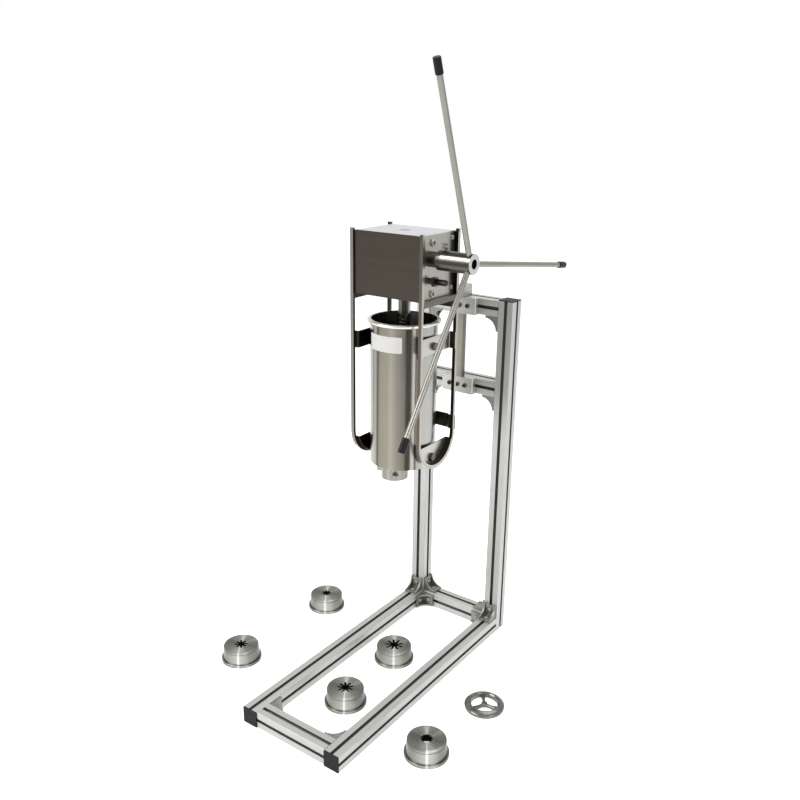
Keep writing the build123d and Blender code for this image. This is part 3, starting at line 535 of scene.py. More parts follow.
@dataclass(frozen=True)
class CastMetal(Finish):
    """Die-cast or tumbled metal with a pebbled skin and darker hollows."""

    colour: str
    rough: float = 0.48
    pit_depth: float = 0.00012

    def draw(self, graph: Graph) -> None:
        """Draw the pits and a cloudy tone.

        Args:
            graph: The material's graph.
        """
        base = linear(self.colour)
        pits = graph.noise(520.0, 4.0, 0.6)
        cloud = graph.noise(60.0, 4.0, 0.6)
        tone = graph.blend(graph.span(cloud, 0.0, 1.0), toned(base, 0.82), toned(base, 1.15))
        tone = graph.blend(graph.span(pits, 0.4, 0.0, 0.3, 0.5), tone, toned(base, 0.6))
        gloss = graph.span(cloud, self.rough - 0.08, self.rough + 0.1)
        graph.surface({"Base Color": tone, "Metallic": 0.85, "Roughness": gloss})
        graph.relief(pits, self.pit_depth, 0.6)


@dataclass(frozen=True)
class Moulded(Finish):
    """Plastic or rubber with a fine grain and lightly rubbed patches."""

    colour: str
    rough: float = 0.45
    lift: float = 1.6
    shine: float = 0.5

    def draw(self, graph: Graph) -> None:
        """Draw the grain and the rubbed patches, which are lighter and smoother.

        Args:
            graph: The material's graph.
        """
        base = linear(self.colour)
        grain = graph.noise(900.0, 3.0, 0.6)
        rubbed = graph.noise(90.0, 4.0, 0.65)
        tone = graph.blend(graph.span(rubbed, 0.0, 0.6, 0.45, 0.75), base, toned(base, self.lift))
        gloss = graph.span(rubbed, self.rough + 0.08, self.rough - 0.1)
        graph.surface(
            {"Base Color": tone, "Metallic": 0.0, "Specular IOR Level": self.shine, "Roughness": gloss}
        )
        graph.relief(grain, 0.00006, 0.5)


# ------------------------------------------------------------------------------------------------
# meshes
# ------------------------------------------------------------------------------------------------


def new_object(name: str, data: bpy.types.ID) -> bpy.types.Object:
    """Make an object and put it in the scene.

    Args:
        name: Its name.
        data: Its mesh, lamp or camera.

    Returns:
        The object.
    """
    made = bpy.data.objects.new(name, data)
    bpy.context.scene.collection.objects.link(made)
    return made


def add_object(name: str, work: bmesh.types.BMesh, smooth: float = 35.0) -> bpy.types.Object:
    """Finish a mesh as an object at the origin, with faces outward and edges sharp past an angle.

    Args:
        name: The object's name.
        work: The mesh, which is freed.
        smooth: The angle in degrees above which an edge stays sharp.

    Returns:
        The new object.
    """
    bmesh.ops.recalc_face_normals(work, faces=work.faces)
    limit = math.radians(smooth)
    for face in work.faces:
        face.smooth = True
    for edge in work.edges:
        edge.smooth = len(edge.link_faces) == 2 and edge.calc_face_angle(0.0) < limit
    mesh = bpy.data.meshes.new(name)
    work.to_mesh(mesh)
    work.free()
    return new_object(name, mesh)


def steps(count: int) -> list[float]:
    """Equal angles once round."""
    return [TURN * step / count for step in range(count)]


def polar(angle: float, radius: float, height: float = 0.0) -> Vector:
    """A point by its angle about Z, its radius and its height."""
    return Vector((radius * math.cos(angle), radius * math.sin(angle), height))


def circle(radius: float, height: float, count: int, place: Matrix = Matrix()) -> list[Vector]:
    """Points once round the local Z axis, or the one point on it.

    Args:
        radius: The circle's radius, or nought.
        height: Its height.
        count: The number of points.
        place: Where local Z and the origin go.

    Returns:
        The points.
    """
    return [place @ polar(angle, radius, height) for angle in (steps(count) if radius else [0.0])]


def loft(work: bmesh.types.BMesh, outlines: Iterable[Iterable[Vector]], closed: bool = False) -> None:
    """Join a row of outlines of as many points, and close the row's ends.

    Args:
        work: The mesh that the faces are added to.
        outlines: The outlines; a single point is joined by a fan.
        closed: Whether the last outline joins the first one; otherwise each end gets a face.
    """
    loops = [[work.verts.new(point) for point in outline] for outline in outlines]
    for first, second in pairwise([*loops, loops[0]] if closed else loops):
        if len(first) == 1 or len(second) == 1:
            tip, loop = (first[0], second) if len(first) == 1 else (second[0], first)
            for one, other in pairwise([*loop, loop[0]]):
                work.faces.new((one, other, tip))
            continue
        for here, after in pairwise([*zip(first, second), (first[0], second[0])]):
            work.faces.new((here[0], after[0], after[1], here[1]))
    if not closed:
        for end in (loops[0], loops[-1]):
            if len(end) > 1:
                work.faces.new(end)


def facing(centre: Vector, direction: Vector) -> Matrix:
    """A placement whose local Z runs along a direction.

    Args:
        centre: Where the origin goes.
        direction: Where local Z points.

    Returns:
        The placement.
    """
    return Matrix.Translation(centre) @ direction.to_track_quat("Z", "Y").to_matrix().to_4x4()


def axes(origin: Sequence[float], *ways: Vector) -> Matrix:
    """A placement by where its origin and its local X, Y and Z go."""
    return Matrix.Translation(origin) @ Matrix(ways).transposed().to_4x4()


def middle_of(node: str) -> Vector:
    """The middle of a CAD node's box."""
    low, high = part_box(node)
    return (Vector(low) + Vector(high)) / 2


def paint_faces(piece: bpy.types.Object, finish: Finish, chosen: Chosen) -> None:
    """Give some faces of an object a finish of their own.

    Args:
        piece: The object.
        finish: The finish.
        chosen: Says for a face's centre and normal whether it takes the finish.
    """
    piece.data.materials.append(finish.material)
    place = len(piece.data.materials) - 1
    for face in piece.data.polygons:
        if chosen(face.center, face.normal):
            face.material_index = place


# ------------------------------------------------------------------------------------------------
# geometry nodes
# ------------------------------------------------------------------------------------------------


class Tree(Nodes):
    """A geometry node tree that takes and gives one geometry."""

    def __init__(self, name: str, options: dict[str, str]) -> None:
        """Start the tree with its inputs.

        Args:
            name: The tree's name.
            options: The kind of each further input by its name.
        """
        super().__init__(bpy.data.node_groups.new(name, "GeometryNodeTree"))
        sockets = self.tree.interface
        for option, kind in {"Geometry": "Geometry", **options}.items():
            sockets.new_socket(option, in_out="INPUT", socket_type=f"NodeSocket{kind}")
        sockets.new_socket("Geometry", in_out="OUTPUT", socket_type="NodeSocketGeometry")
        self.source = self.node("NodeGroupInput")

    def giving(self, geometry: Socket) -> bpy.types.GeometryNodeTree:
        """Link what the tree gives, and return it."""
        self.node("NodeGroupOutput", {"Geometry": geometry})
        return self.tree


def smoothing_tree() -> bpy.types.GeometryNodeTree:
    """Build the tree that joins a node's loose triangles and smooths it below an angle.

    Returns:
        The tree, with the inputs Weld Distance and Sharp Angle.
    """
    tree = Tree("joined_and_smoothed", {"Weld Distance": "Float", "Sharp Angle": "Float"})
    source = tree.source
    joined = {"Geometry": source["Geometry"], "Distance": source["Weld Distance"]}
    weld = tree.node("GeometryNodeMergeByDistance", joined)[0]
    angle = tree.node("GeometryNodeInputMeshEdgeAngle")["Unsigned Angle"]
    over = tree.node("FunctionNodeCompare", {0: angle, 1: source["Sharp Angle"]},
                     data_type="FLOAT", operation="GREATER_THAN")[0]
    faces = tree.node("GeometryNodeSetShadeSmooth", {"Geometry": weld}, domain="FACE")[0]
    sharp = {"Geometry": faces, "Selection": over, "Shade Smooth": False}
    return tree.giving(tree.node("GeometryNodeSetShadeSmooth", sharp, domain="EDGE")[0])


def pieces_tree() -> bpy.types.GeometryNodeTree:
    """Build the tree that sets a piece on each point, turned as it says and rolled by chance.

    Returns:
        The tree, with the inputs Piece, Roll and Finish.
    """
    tree = Tree("pieces_on_points", {"Piece": "Object", "Roll": "Float", "Finish": "Material"})
    source = tree.source
    points = tree.node("GeometryNodeMeshToPoints", {"Mesh": source["Geometry"]})[0]
    stored = tree.node("GeometryNodeInputNamedAttribute", {"Name": "turn"}, data_type="FLOAT_VECTOR")
    turned = tree.node("FunctionNodeEulerToRotation", {"Euler": stored["Attribute"]})[0]
    most = {3: source["Roll"], "Seed": ROLL_SEED}
    chance = tree.node("FunctionNodeRandomValue", most, data_type="FLOAT")[1]
    about = tree.node("FunctionNodeAxisAngleToRotation", {"Axis": (0, 0, 1), "Angle": chance})[0]
    both = {"Rotation": turned, "Rotate By": about}
    rolled = tree.node("FunctionNodeRotateRotation", both, rotation_space="LOCAL")[0]
    shape = tree.node("GeometryNodeObjectInfo", {"Object": source["Piece"]}, transform_space="ORIGINAL")
    copies = {"Points": points, "Instance": shape["Geometry"], "Rotation": rolled}
    place = tree.node("GeometryNodeInstanceOnPoints", copies)[0]
    real = tree.node("GeometryNodeRealizeInstances", {"Geometry": place})[0]
    painted = {"Geometry": real, "Material": source["Finish"]}
    return tree.giving(tree.node("GeometryNodeSetMaterial", painted)[0])


SMOOTHING = smoothing_tree()
PIECES = pieces_tree()


def add_tree(
    piece: bpy.types.Object, tree: bpy.types.GeometryNodeTree, values: dict[str, object]
) -> None:
    """Run a geometry node tree on an object by a modifier.

    Args:
        piece: The object.
        tree: The tree.
        values: What its inputs are set to, by their names.
    """
    modifier = piece.modifiers.new(tree.name, "NODES")
    modifier.node_group = tree
    for item in tree.interface.items_tree:
        if item.in_out == "INPUT" and item.name in values:
            modifier[item.identifier] = values[item.name]


def placed(
    piece: bpy.types.Object, name: str, places: Sequence[Matrix], finish: Finish, roll: float = 0.0
) -> bpy.types.Object:
    """Set copies of a helper piece on a list of places and return them as one plain object.

    Args:
        piece: The helper piece at the origin, which is removed.
        name: The name of the result.
        places: Where each copy goes.
        finish: The finish of the copies.
        roll: The most that a copy is rolled about its own Z axis by chance.

    Returns:
        The object, without modifiers.
    """
    spots = bpy.data.meshes.new(f"{name}_places")
    spots.from_pydata([place.to_translation() for place in places], [], [])
    turns = spots.attributes.new("turn", "FLOAT_VECTOR", "POINT")
    for item, place in zip(turns.data, places):
        item.vector = Vector(place.to_euler("XYZ"))
    carrier = new_object(f"{name}_carrier", spots)
    add_tree(carrier, PIECES, {"Piece": piece, "Roll": roll, "Finish": finish.material})
    bpy.context.view_layer.update()
    graph = bpy.context.evaluated_depsgraph_get()
    mesh = bpy.data.meshes.new_from_object(carrier.evaluated_get(graph), depsgraph=graph)
    mesh.name = name
    for helper in (carrier, piece):
        bpy.data.objects.remove(helper)
    return new_object(name, mesh)


@dataclass(frozen=True)
class Fastener:
    """A screw with a round head, a hexagon socket and a short plain shank."""

    name: str
    diameter: float
    height: float
    socket: float
    shank: float
    shank_length: float
    crown: float = 0.26
    segments: int = 30

    def helper(self) -> bpy.types.Object:
        """Model one screw.

        Returns:
            The screw as a helper object, its seat at the origin and its head along +Z.
        """
        radius, top, stem = self.diameter / 2, self.height, self.shank / 2
        profile = (
            (stem, -self.shank_length), (stem, 0.0), (radius, 0.0), (radius, top * (0.9 - self.crown)),
            (radius * 0.97, top * (1 - self.crown)), (radius * 0.88, top * 0.94), (radius * 0.78, top),
        )
        outlines = [circle(reach, height, self.segments) for reach, height in profile]
        hexagon = [
            (angle, self.socket / 2 / math.cos((angle + TURN / 12) % (TURN / 6) - TURN / 12))
            for angle in steps(self.segments)
        ]
        for height in (top, top * 0.25):
            outlines.append([polar(angle, reach, height) for angle, reach in hexagon])
        work = bmesh.new()
        loft(work, outlines)
        return add_object(f"{self.name}_helper", work, 40.0)

    def build(self, places: Sequence[Matrix], finish: Finish) -> bpy.types.Object:
        """Set a screw on each place.

        Args:
            places: The seats, with local Z out of the surface.
            finish: The screws' finish.

        Returns:
            The screws as one object.
        """
        return placed(self.helper(), self.name, places, finish, roll=TURN)


# ------------------------------------------------------------------------------------------------
# sub-assemblies
# ------------------------------------------------------------------------------------------------


class Assembly:
    """A group of CAD nodes that are dressed together, and the pieces that finish them."""

    body = "stand"

    def dress(self, finish: Finish, *nodes: str, angle: float = 28.0) -> None:
        """Give CAD nodes their finish, and smooth them by a modifier.

        Args:
            finish: The finish.
            nodes: The nodes' names.
            angle: The angle in degrees above which their edges stay sharp.
        """
        for node in nodes:
            piece = NODES[node]
            piece.data.materials.clear()
            piece.data.materials.append(finish.material)
            add_tree(piece, SMOOTHING, {"Weld Distance": WELD, "Sharp Angle": math.radians(angle)})
            LOG.info("dressed %s with %s", node, finish.name)

    def paint(self, finish: Finish, chosen: Chosen, *nodes: str) -> None:
        """Give some faces of dressed CAD nodes a finish of their own.

        Args:
            finish: The finish.
            chosen: Says for a face's centre and normal whether it takes the finish.
            nodes: The nodes' names.
        """
        for node in nodes:
            paint_faces(NODES[node], finish, chosen)

    def keep(
        self,
        piece: bpy.types.Object,
        slot: str,
        stands_for: Sequence[str] = (),
        finish: Finish | None = None,
    ) -> None:
        """Add a finished piece to the object, on the assembly's body.

        Args:
            piece: The piece.
            slot: A material slot's name; not used.
            stands_for: The CAD nodes that it stands for.
            finish: Its finish, if it has none yet.
        """
        if finish is not None:
            piece.data.materials.append(finish.material)
        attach(piece, self.body)
        if stands_for:
            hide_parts(*stands_for)
        LOG.info("made %s", piece.name)

    def build(self) -> None:
        """Dress and build every piece of the assembly."""
        raise NotImplementedError


@dataclass(frozen=True)
class Stand(Assembly):
    """The stand of slotted profile with its brackets, caps, mounting blocks, column and arm."""

    half_profile: float = 20.0 * MM
    slot_skin: float = 1.2 * MM
    post_x: float = 118.0 * MM
    rail_front: float = -670.0 * MM
    post_height: float = 885.0 * MM
    lower_rail_top: float = 685.0 * MM
    leg: float = 36.0 * MM
    leg_bevel: float = 2.0 * MM
    wall_inset: float = 1.0 * MM
    width: float = 34.0 * MM
    flange: float = 4.5 * MM
    rib: float = 4.0 * MM
    tip: float = 6.0 * MM
    scoop: float = 38.0 * MM
    scoop_steps: int = 14
    bolt_reach: float = 20.0 * MM
    bolt_head: float = 11.0 * MM
    bolt_height: float = 3.4 * MM
    bolt_socket: float = 5.0 * MM
    bolt_shank: float = 6.0 * MM
    block_depth: float = 16.0 * MM
    block_pitch: float = 22.0 * MM

    def corners(self) -> list[tuple[Vector, Vector, Vector]]:
        """List the inner corners that the brackets sit in.

        Returns:
            Each corner with the directions of the bracket's two flanges.
        """
        half = self.half_profile
        inner = self.post_x - half
        found: list[tuple[Vector, Vector, Vector]] = []
        for side in (-1, 1):
            inward = Vector((-side, 0, 0))
            for x, y, z, first, second in (
                (self.post_x, -half, 2 * half, FRONT, UP),
                (inner, 0, 2 * half, inward, UP),
                (inner, -half, half, FRONT, inward),
                (inner, self.rail_front + 2 * half, half, BACK, inward),
                (inner, 0, self.post_height - 2 * half, inward, -UP),
                (inner, 0, self.lower_rail_top - 2 * half, inward, -UP),
            ):
                found.append((Vector((side * x, y, z)), first, second))
        return found

    def bracket(self) -> bpy.types.Object:
        """Model one cast bracket: two flanges along X and Z and a scooped rib on each side.

        Returns:
            The bracket as a helper object, its corner at the origin.
        """
        near, far = self.tip - self.scoop, self.leg - self.leg_bevel - self.scoop
        start, end = math.atan2(near, far), math.atan2(far, near)
        if end > start:
            end -= TURN
        sweep = [start + (end - start) * step / self.scoop_steps for step in range(self.scoop_steps + 1)]
        reach = math.hypot(near, far)
        arc = [(self.scoop + reach * math.cos(a), self.scoop + reach * math.sin(a)) for a in sweep]
        leg, last, flange = self.leg, self.leg - self.wall_inset, self.flange
        rib = [(0, 0), (leg, 0), (leg, self.tip), *arc, (self.tip, leg), (0, leg)]
        wall = [(0, 0), (last, 0), (last, flange), (flange, flange), (flange, last), (0, last)]
        outside, inside = self.width / 2, self.width / 2 - self.rib
        work = bmesh.new()
        for outline, *sides in (
            (rib, inside, outside), (rib, -outside, -inside), (wall, -inside, inside),
        ):
            loft(work, [[Vector((x, y, z)) for x, z in outline] for y in sides])
        bmesh.ops.recalc_face_normals(work, faces=work.faces)
        bmesh.ops.triangulate(work, faces=[face for face in work.faces if len(face.verts) > 4])
        return add_object("bracket_helper", work, 30.0)

    def brackets(self) -> None:
        """Set the cast brackets and the bolts through their flanges."""
        casting = CastMetal("bracket_casting", "#8B8C85", rough=0.42)
        places = [
            axes(corner, first, second.cross(first), second) for corner, first, second in self.corners()
        ]
        cast = placed(self.bracket(), "scooped_brackets", places, casting)
        self.keep(cast, "casting", stands_for=["gussets"])
        seats = [
            facing(corner + run * self.bolt_reach + out * self.flange, out)
            for corner, first, second in self.corners()
            for run, out in ((first, second), (second, first))
        ]
        zinc = CastMetal("bolt_zinc", "#A7A7A2", rough=0.28, pit_depth=0.00003)
        screw = Fastener(
            "bracket_bolts", self.bolt_head, self.bolt_height, self.bolt_socket, self.bolt_shank, 9.5 * MM
        )
        self.keep(screw.build(seats, zinc), "fastener", stands_for=["gusset_bolts"])

    def block_bolts(self) -> None:
        """Set the three dark socket screws in each mounting block."""
        front = -self.half_profile - self.block_depth
        seats = [
            facing(Vector((step * self.block_pitch, front, top - self.half_profile)), FRONT)
            for top in (self.post_height, self.lower_rail_top)
            for step in (-1, 0, 1)
        ]
        dark = CastMetal("block_bolt_dark", "#4B4945", rough=0.34, pit_depth=0.00003)
        screw = Fastener(
            "block_bolts", self.bolt_head, self.bolt_height, 6.4 * MM, self.bolt_shank, 12.0 * MM
        )
        self.keep(screw.build(seats, dark), "fastener", stands_for=["mount_bolts"])

    def profiles(self) -> None:
        """Dress the slotted profiles: anodised outside, with painted shade inside the slots."""
        shade = BrushedMetal("slot_shade", "#7A7872", Grain.FREE, rough=0.6)
        limit = self.half_profile - self.slot_skin
        for axis, grain, nodes in (
            (1, Grain.ALONG_Y, ("base_rail_left", "base_rail_right")),
            (0, Grain.ALONG_X,
             ("base_cross_front", "base_cross_rear", "cross_rail_upper", "cross_rail_lower")),
            (2, Grain.ALONG_Z, ("post_left", "post_right")),
        ):
            name = f"anodised_{grain.name.lower()}"
            skin = BrushedMetal(name, "#B7B7B4", grain, rough=0.5, spread=0.06, line_scale=700.0)
            self.dress(skin, *nodes)
            for node in nodes:
                middle = middle_of(node)

                def in_slot(centre: Vector, normal: Vector) -> bool:
                    """Whether a face lies inside the section and doesn't close its end."""
                    deep = all(abs(centre[n] - middle[n]) < limit for n in range(3) if n != axis)
                    return deep and abs(normal[axis]) < 0.5

                self.paint(shade, in_slot, node)

    def build(self) -> None:
        """Dress the profiles and castings and set the bolt heads."""
        self.profiles()
        self.brackets()
        self.block_bolts()
        self.dress(Moulded("black_cap", "#121213", rough=0.5, shine=0.16), "end_caps")
        self.dress(CastMetal("nut_steel", "#6F6F6C"), "slot_nuts")
        milled = BrushedMetal("milled_block", "#B9B8B3", Grain.ALONG_X, rough=0.42, spread=0.08)
        self.dress(milled, "mount_block_upper", "mount_block_lower")
        self.dress(BrushedMetal("column_steel", "#96958A", Grain.ALONG_Z, rough=0.38), "mount_column")
        shaded = BrushedMetal("column_shade", "#6B6A60", Grain.ALONG_Z, rough=0.4)
        self.paint(shaded, lambda centre, normal: normal.x > 0.7, "mount_column")
        self.dress(BrushedMetal("arm_steel", "#A9A8A2", Grain.ALONG_Y, rough=0.36), "mount_arm")


@dataclass(frozen=True)
class Head(Assembly):
    """The bar frames, straps and side plates that carry the gearbox and the cylinder."""

    leg_foot: float = 0.56
    turn_height: float = 612.0 * MM
    box_floor: float = 915.0 * MM
    bearer_half: float = 0.06

    def bars(self) -> None:
        """Dress the bent bars: light outside, with painted shade where they face the box and the
        cylinder.
        """
        left, right = "u_frame_left", "u_frame_right"

        def faces_front(centre: Vector, normal: Vector) -> bool:
            """Whether a face is the front of a front leg."""
            return normal.y < -0.8 and centre.y < HEAD_Y and centre.z > self.leg_foot

        def faces_inward(centre: Vector, normal: Vector) -> bool:
            """Tell the faces that take painted shade: the front of a rear leg and the inside of the lower
            bend.

            Args:
                centre: The face's centre.
                normal: Its normal.

            Returns:
                Whether it is one of them.
            """
            back, drop = centre.y - HEAD_Y, centre.z - self.turn_height
            in_bend = normal.y * back + normal.z * drop < -0.02 and drop < 0 and abs(normal.x) < 0.5
            return (normal.y < -0.8 and back > 0) or in_bend

        def on_bearer(centre: Vector, normal: Vector) -> bool:
            """Whether a face is the right side of the bearer under the gearbox."""
            close = abs(centre.y - HEAD_Y) < self.bearer_half
            return normal.x > 0.8 and close and centre.z > self.box_floor

        self.dress(BrushedMetal("bar_steel", "#A5A39A", Grain.ALONG_Z), left, right)
        for name, colour, grain, rough, spread, chosen, nodes in (
            # Painted shade on the front faces of the front legs: deeper on the right bar, softer on the
            # left.
            ("bar_front_shade", "#5B554D", Grain.ALONG_Z, 0.32, 0.16, faces_front, [right]),
            ("bar_front_soft_shade", "#807C75", Grain.ALONG_Z, 0.32, 0.14, faces_front, [left]),
            # Painted shade on the front of the rear legs and inside the lower bends.
            ("bar_shade", "#2B2822", Grain.ALONG_Z, 0.36, 0.2, faces_inward, [right, left]),
            # Painted shade on the left bar's side that faces the cylinder.
            ("bar_inner_shade", "#5B5047", Grain.ALONG_Z, 0.34, 0.16,
             lambda centre, normal: normal.x > 0.8, [left]),
            # Painted shade on the right side of the bearer under the gearbox.
            ("bearer_shade", "#66635B", Grain.ALONG_Y, 0.34, 0.14, on_bearer, [right]),
        ):
            self.paint(BrushedMetal(name, colour, grain, rough, spread), chosen, *nodes)

    def build(self) -> None:
        """Dress the bars, the straps, the pale and shaded sides of the plates, and their bolts."""
        self.bars()
        strap = BrushedMetal("strap_steel", "#4A473B", Grain.ALONG_X, rough=0.34, spread=0.14)
        self.dress(strap, "rear_strap_lower", "rear_strap_upper")
        plate = BrushedMetal("plate_steel", "#B3B1AA", Grain.ALONG_Y, spread=0.08)
        shade = BrushedMetal("plate_shade", "#2A2820", Grain.ALONG_Y, rough=0.36, spread=0.25)
        right = ("side_plate_upper_right", "side_plate_lower_right")
        left = ("side_plate_upper_left", "side_plate_lower_left")
        self.dress(plate, *right)
        self.paint(shade, lambda centre, normal: abs(normal.x) < 0.6, *right)
        self.dress(shade, *left)
        self.paint(plate, lambda centre, normal: normal.x < -0.6, *left)
        self.dress(CastMetal("bolt_bright", "#5E5C55", rough=0.24), "cylinder_bolts")


@dataclass(frozen=True)
class Gearbox(Assembly):
    """The bent sheet panels with their screws, the bearings, bushes, keeper and plunger."""

    side_x: float = 84.0 * MM
    front_screws: Profile = ((-284.5 * MM, 941.0 * MM), (-284.5 * MM, 1048.0 * MM))
    rear_screws: Profile = ((-209.5 * MM, 945.0 * MM), (-209.5 * MM, 1052.0 * MM))
    flange_x: float = 0.0835
    rear_flange_y: float = -0.21
    wire: float = 0.5 * MM
    coil_radius: float = 4.3 * MM
    coil_turns: int = 4
    turn_steps: int = 28
    wire_sides: int = 8
    squashed: float = 0.39
    bearing_reflection_bands: Bands = (
        (60, "#8F8C83"), (84, "#C9C6BC"), (100, "#5A564C"), (118, "#3A372F"), (140, "#6D695E"),
        (160, "#4A463D"), (190, "#33302A"), (230, "#4E4A41"), (280, "#6B675D"), (340, "#55524A"),
        (20, "#7A776D"),
    )
    bush_reflection_bands: Bands = (
        (-144, "#8B8880"), (-120, "#5B5953"), (-88, "#6E6B63"), (-76, "#23211D"), (-34, "#1D1B18"),
        (-14, "#55524C"), (2, "#C9C6BE"), (30, "#D5D3CB"), (70, "#8F8C84"), (120, "#B4B1A9"),
        (170, "#7B786F"),
    )

    def screws(self) -> None:
        """Set the large front screws and the small rear ones in both side panels."""
        bright = CastMetal("screw_bright", "#A09D95", rough=0.2, pit_depth=0.00002)
        for name, diameter, socket, spots in (
            ("front_panel_screws", 15.6 * MM, 8.0 * MM, self.front_screws),
            ("rear_panel_screws", 9.8 * MM, 4.6 * MM, self.rear_screws),
        ):
            seats = [
                facing(Vector((side * self.side_x, y, z)), Vector((side, 0, 0)))
                for side in (-1, 1) for y, z in spots
            ]
            screw = Fastener(name, diameter, 4.2 * MM, socket, 5.8 * MM, 4.0 * MM, crown=0.5)
            self.keep(screw.build(seats, bright), "fastener", stands_for=["panel_screws"])

    def coil(self) -> None:
        """Wind the coil round the pull pin."""
        low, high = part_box("plunger_spring")
        wire, total = self.wire, self.coil_turns * self.turn_steps
        outlines = []
        for step in range(total + 1):
            angle = TURN * step / self.turn_steps
            out = Vector((0, math.cos(angle), math.sin(angle)))
            along = low[0] + wire + (high[0] - low[0] - 2 * wire) * step / total
            centre = Vector((along, PLUNGER[1], PLUNGER[2])) + out * self.coil_radius
            outlines.append([
                centre + out * (wire * math.cos(turn)) + Vector((wire * math.sin(turn), 0, 0))
                for turn in steps(self.wire_sides)
            ])
        work = bmesh.new()
        loft(work, outlines)
        spring = add_object("pull_spring", work)
        steel = CastMetal("spring_wire", "#8A8A86", rough=0.3)
        self.keep(spring, "spring", stands_for=["plunger_spring"], finish=steel)
        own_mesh(spring)

    def on_rear_flange(self, centre: Vector, normal: Vector) -> bool:
        """Whether a face is the front of a side panel's rear flange, which lies in shadow."""
        return normal.y < -0.3 and centre.y > self.rear_flange_y and abs(centre.x) > self.flange_x

    def build(self) -> None:
        """Dress the panels and what they hold."""
        sides = ("gearbox_side_left", "gearbox_side_right")
        # Painted reflection: the front panel is the same steel as the sides, darkened where it mirrors
        # dark surroundings.
        front = BrushedMetal("front_panel_dark_reflection", "#46423B", Grain.ALONG_X, rough=0.34, spread=0.06)
        self.dress(front, "gearbox_front")
        side = BrushedMetal("side_panel_steel", "#A19E98", Grain.ALONG_Z, rough=0.32, spread=0.06)
        self.dress(side, *sides, "gearbox_back", "gearbox_bottom")
        shade = BrushedMetal("side_panel_shade", "#16140F", Grain.ALONG_Z, rough=0.4, spread=0.2)
        self.paint(shade, self.on_rear_flange, *sides)
        lid = BrushedMetal("lid_steel", "#C4C2C6", Grain.ALONG_X, rough=0.38, spread=0.04)
        self.dress(lid, "gearbox_top")
        self.screws()
        # The bearings and bushes carry painted reflections in bands round their axes.
        bearing = BandedMetal("bearing_steel", SHAFT, self.bearing_reflection_bands, Grain.ALONG_X, rough=0.26)
        self.dress(bearing, "shaft_bearings")
        self.dress(BandedMetal("bush_steel", HEAD, self.bush_reflection_bands, rough=0.24), "guide_bushes")
        self.dress(BrushedMetal("keeper_steel", "#8C8B86", Grain.ALONG_Z), "shaft_keeper")
        for node, name, colour in (
            ("plunger_body", "plunger_steel", "#55554F"),
            ("plunger_pin", "plunger_black", "#3C3D3C"),
        ):
            self.dress(TurnedMetal(name, colour, PLUNGER, Grain.ALONG_X, streak=0.5), node)
        self.coil()


@dataclass(frozen=True)
class Drive(Assembly):
    """The shaft with its pinion, the polished hub and the three levers with their grips."""

    body = "drive"
    painted_shade_end: float = 0.1208
    hub_face_from: float = 0.19
    bore_from: float = 0.14
    bore_radius: float = 0.0125
    hub_reflection_bands: Bands = (
        (66, "#6B6860"), (74, "#9B988F"), (80, "#8F8D86"), (94, "#85837C"), (101, "#4B473F"),
        (112, "#1E1C17"), (132, "#24221D"), (138, "#6B685D"), (143, "#DEDCD3"), (150, "#D2CFC4"),
        (156, "#5E5B52"), (172, "#3F3F36"), (188, "#302E27"), (200, "#55534A"), (232, "#4C4B41"),
        (248, "#3A3831"), (276, "#7A776D"), (300, "#C3C1B9"), (326, "#8B887F"), (352, "#D0CEC6"),
        (28, "#A3A098"), (50, "#BEBCB4"),
    )

    def on_face(self, centre: Vector, normal: Vector) -> bool:
        """Whether a face belongs to the hub's outer end."""
        return normal.x > 0.7 and centre.x > self.hub_face_from

    def in_bore(self, centre: Vector, normal: Vector) -> bool:
        """Whether a face lies in the hub's open bore."""
        reach = math.hypot(centre.y - SHAFT[1], centre.z - SHAFT[2])
        return centre.x > self.bore_from and reach < self.bore_radius

    def build(self) -> None:
        """Dress the drive."""
        self.dress(TurnedMetal("shaft_steel", "#55534E", SHAFT, Grain.ALONG_X), "drive_shaft")
        self.dress(TurnedMetal("pinion_steel", "#7E7D78", SHAFT, Grain.ALONG_X), "pinion", angle=20.0)
        # The hub carries painted reflections in bands, and painted shade at its inner end.
        polish = BandedMetal(
            "hub_polish", SHAFT, self.hub_reflection_bands, Grain.ALONG_X, rough=0.27, painted_shade_end=self.painted_shade_end
        )
        self.dress(polish, "lever_hub")
        face = TurnedMetal("hub_face", "#BDBCB8", SHAFT, Grain.ALONG_X, rough=0.3, streak=0.12)
        self.paint(face, self.on_face, "lever_hub")
        # Painted shade in the hub's open bore.
        bore = BrushedMetal("hub_bore_shade", "#23211D", Grain.ALONG_X, rough=0.5)
        self.paint(bore, self.in_bore, "lever_hub")
        self.dress(CastMetal("hub_screw_steel", "#8B8983", rough=0.2), "hub_screw")
        bar = BrushedMetal(
            "lever_steel", "#86847D", Grain.FREE, spread=0.06, line_scale=260.0, line_depth=0.00001
        )
        self.dress(bar, "lever_one", "lever_two", "lever_three", angle=40.0)
        grip = Moulded("grip_black", "#0D0C0B", rough=0.42, lift=1.3, shine=0.18)
        self.dress(grip, "lever_grips", angle=40.0)


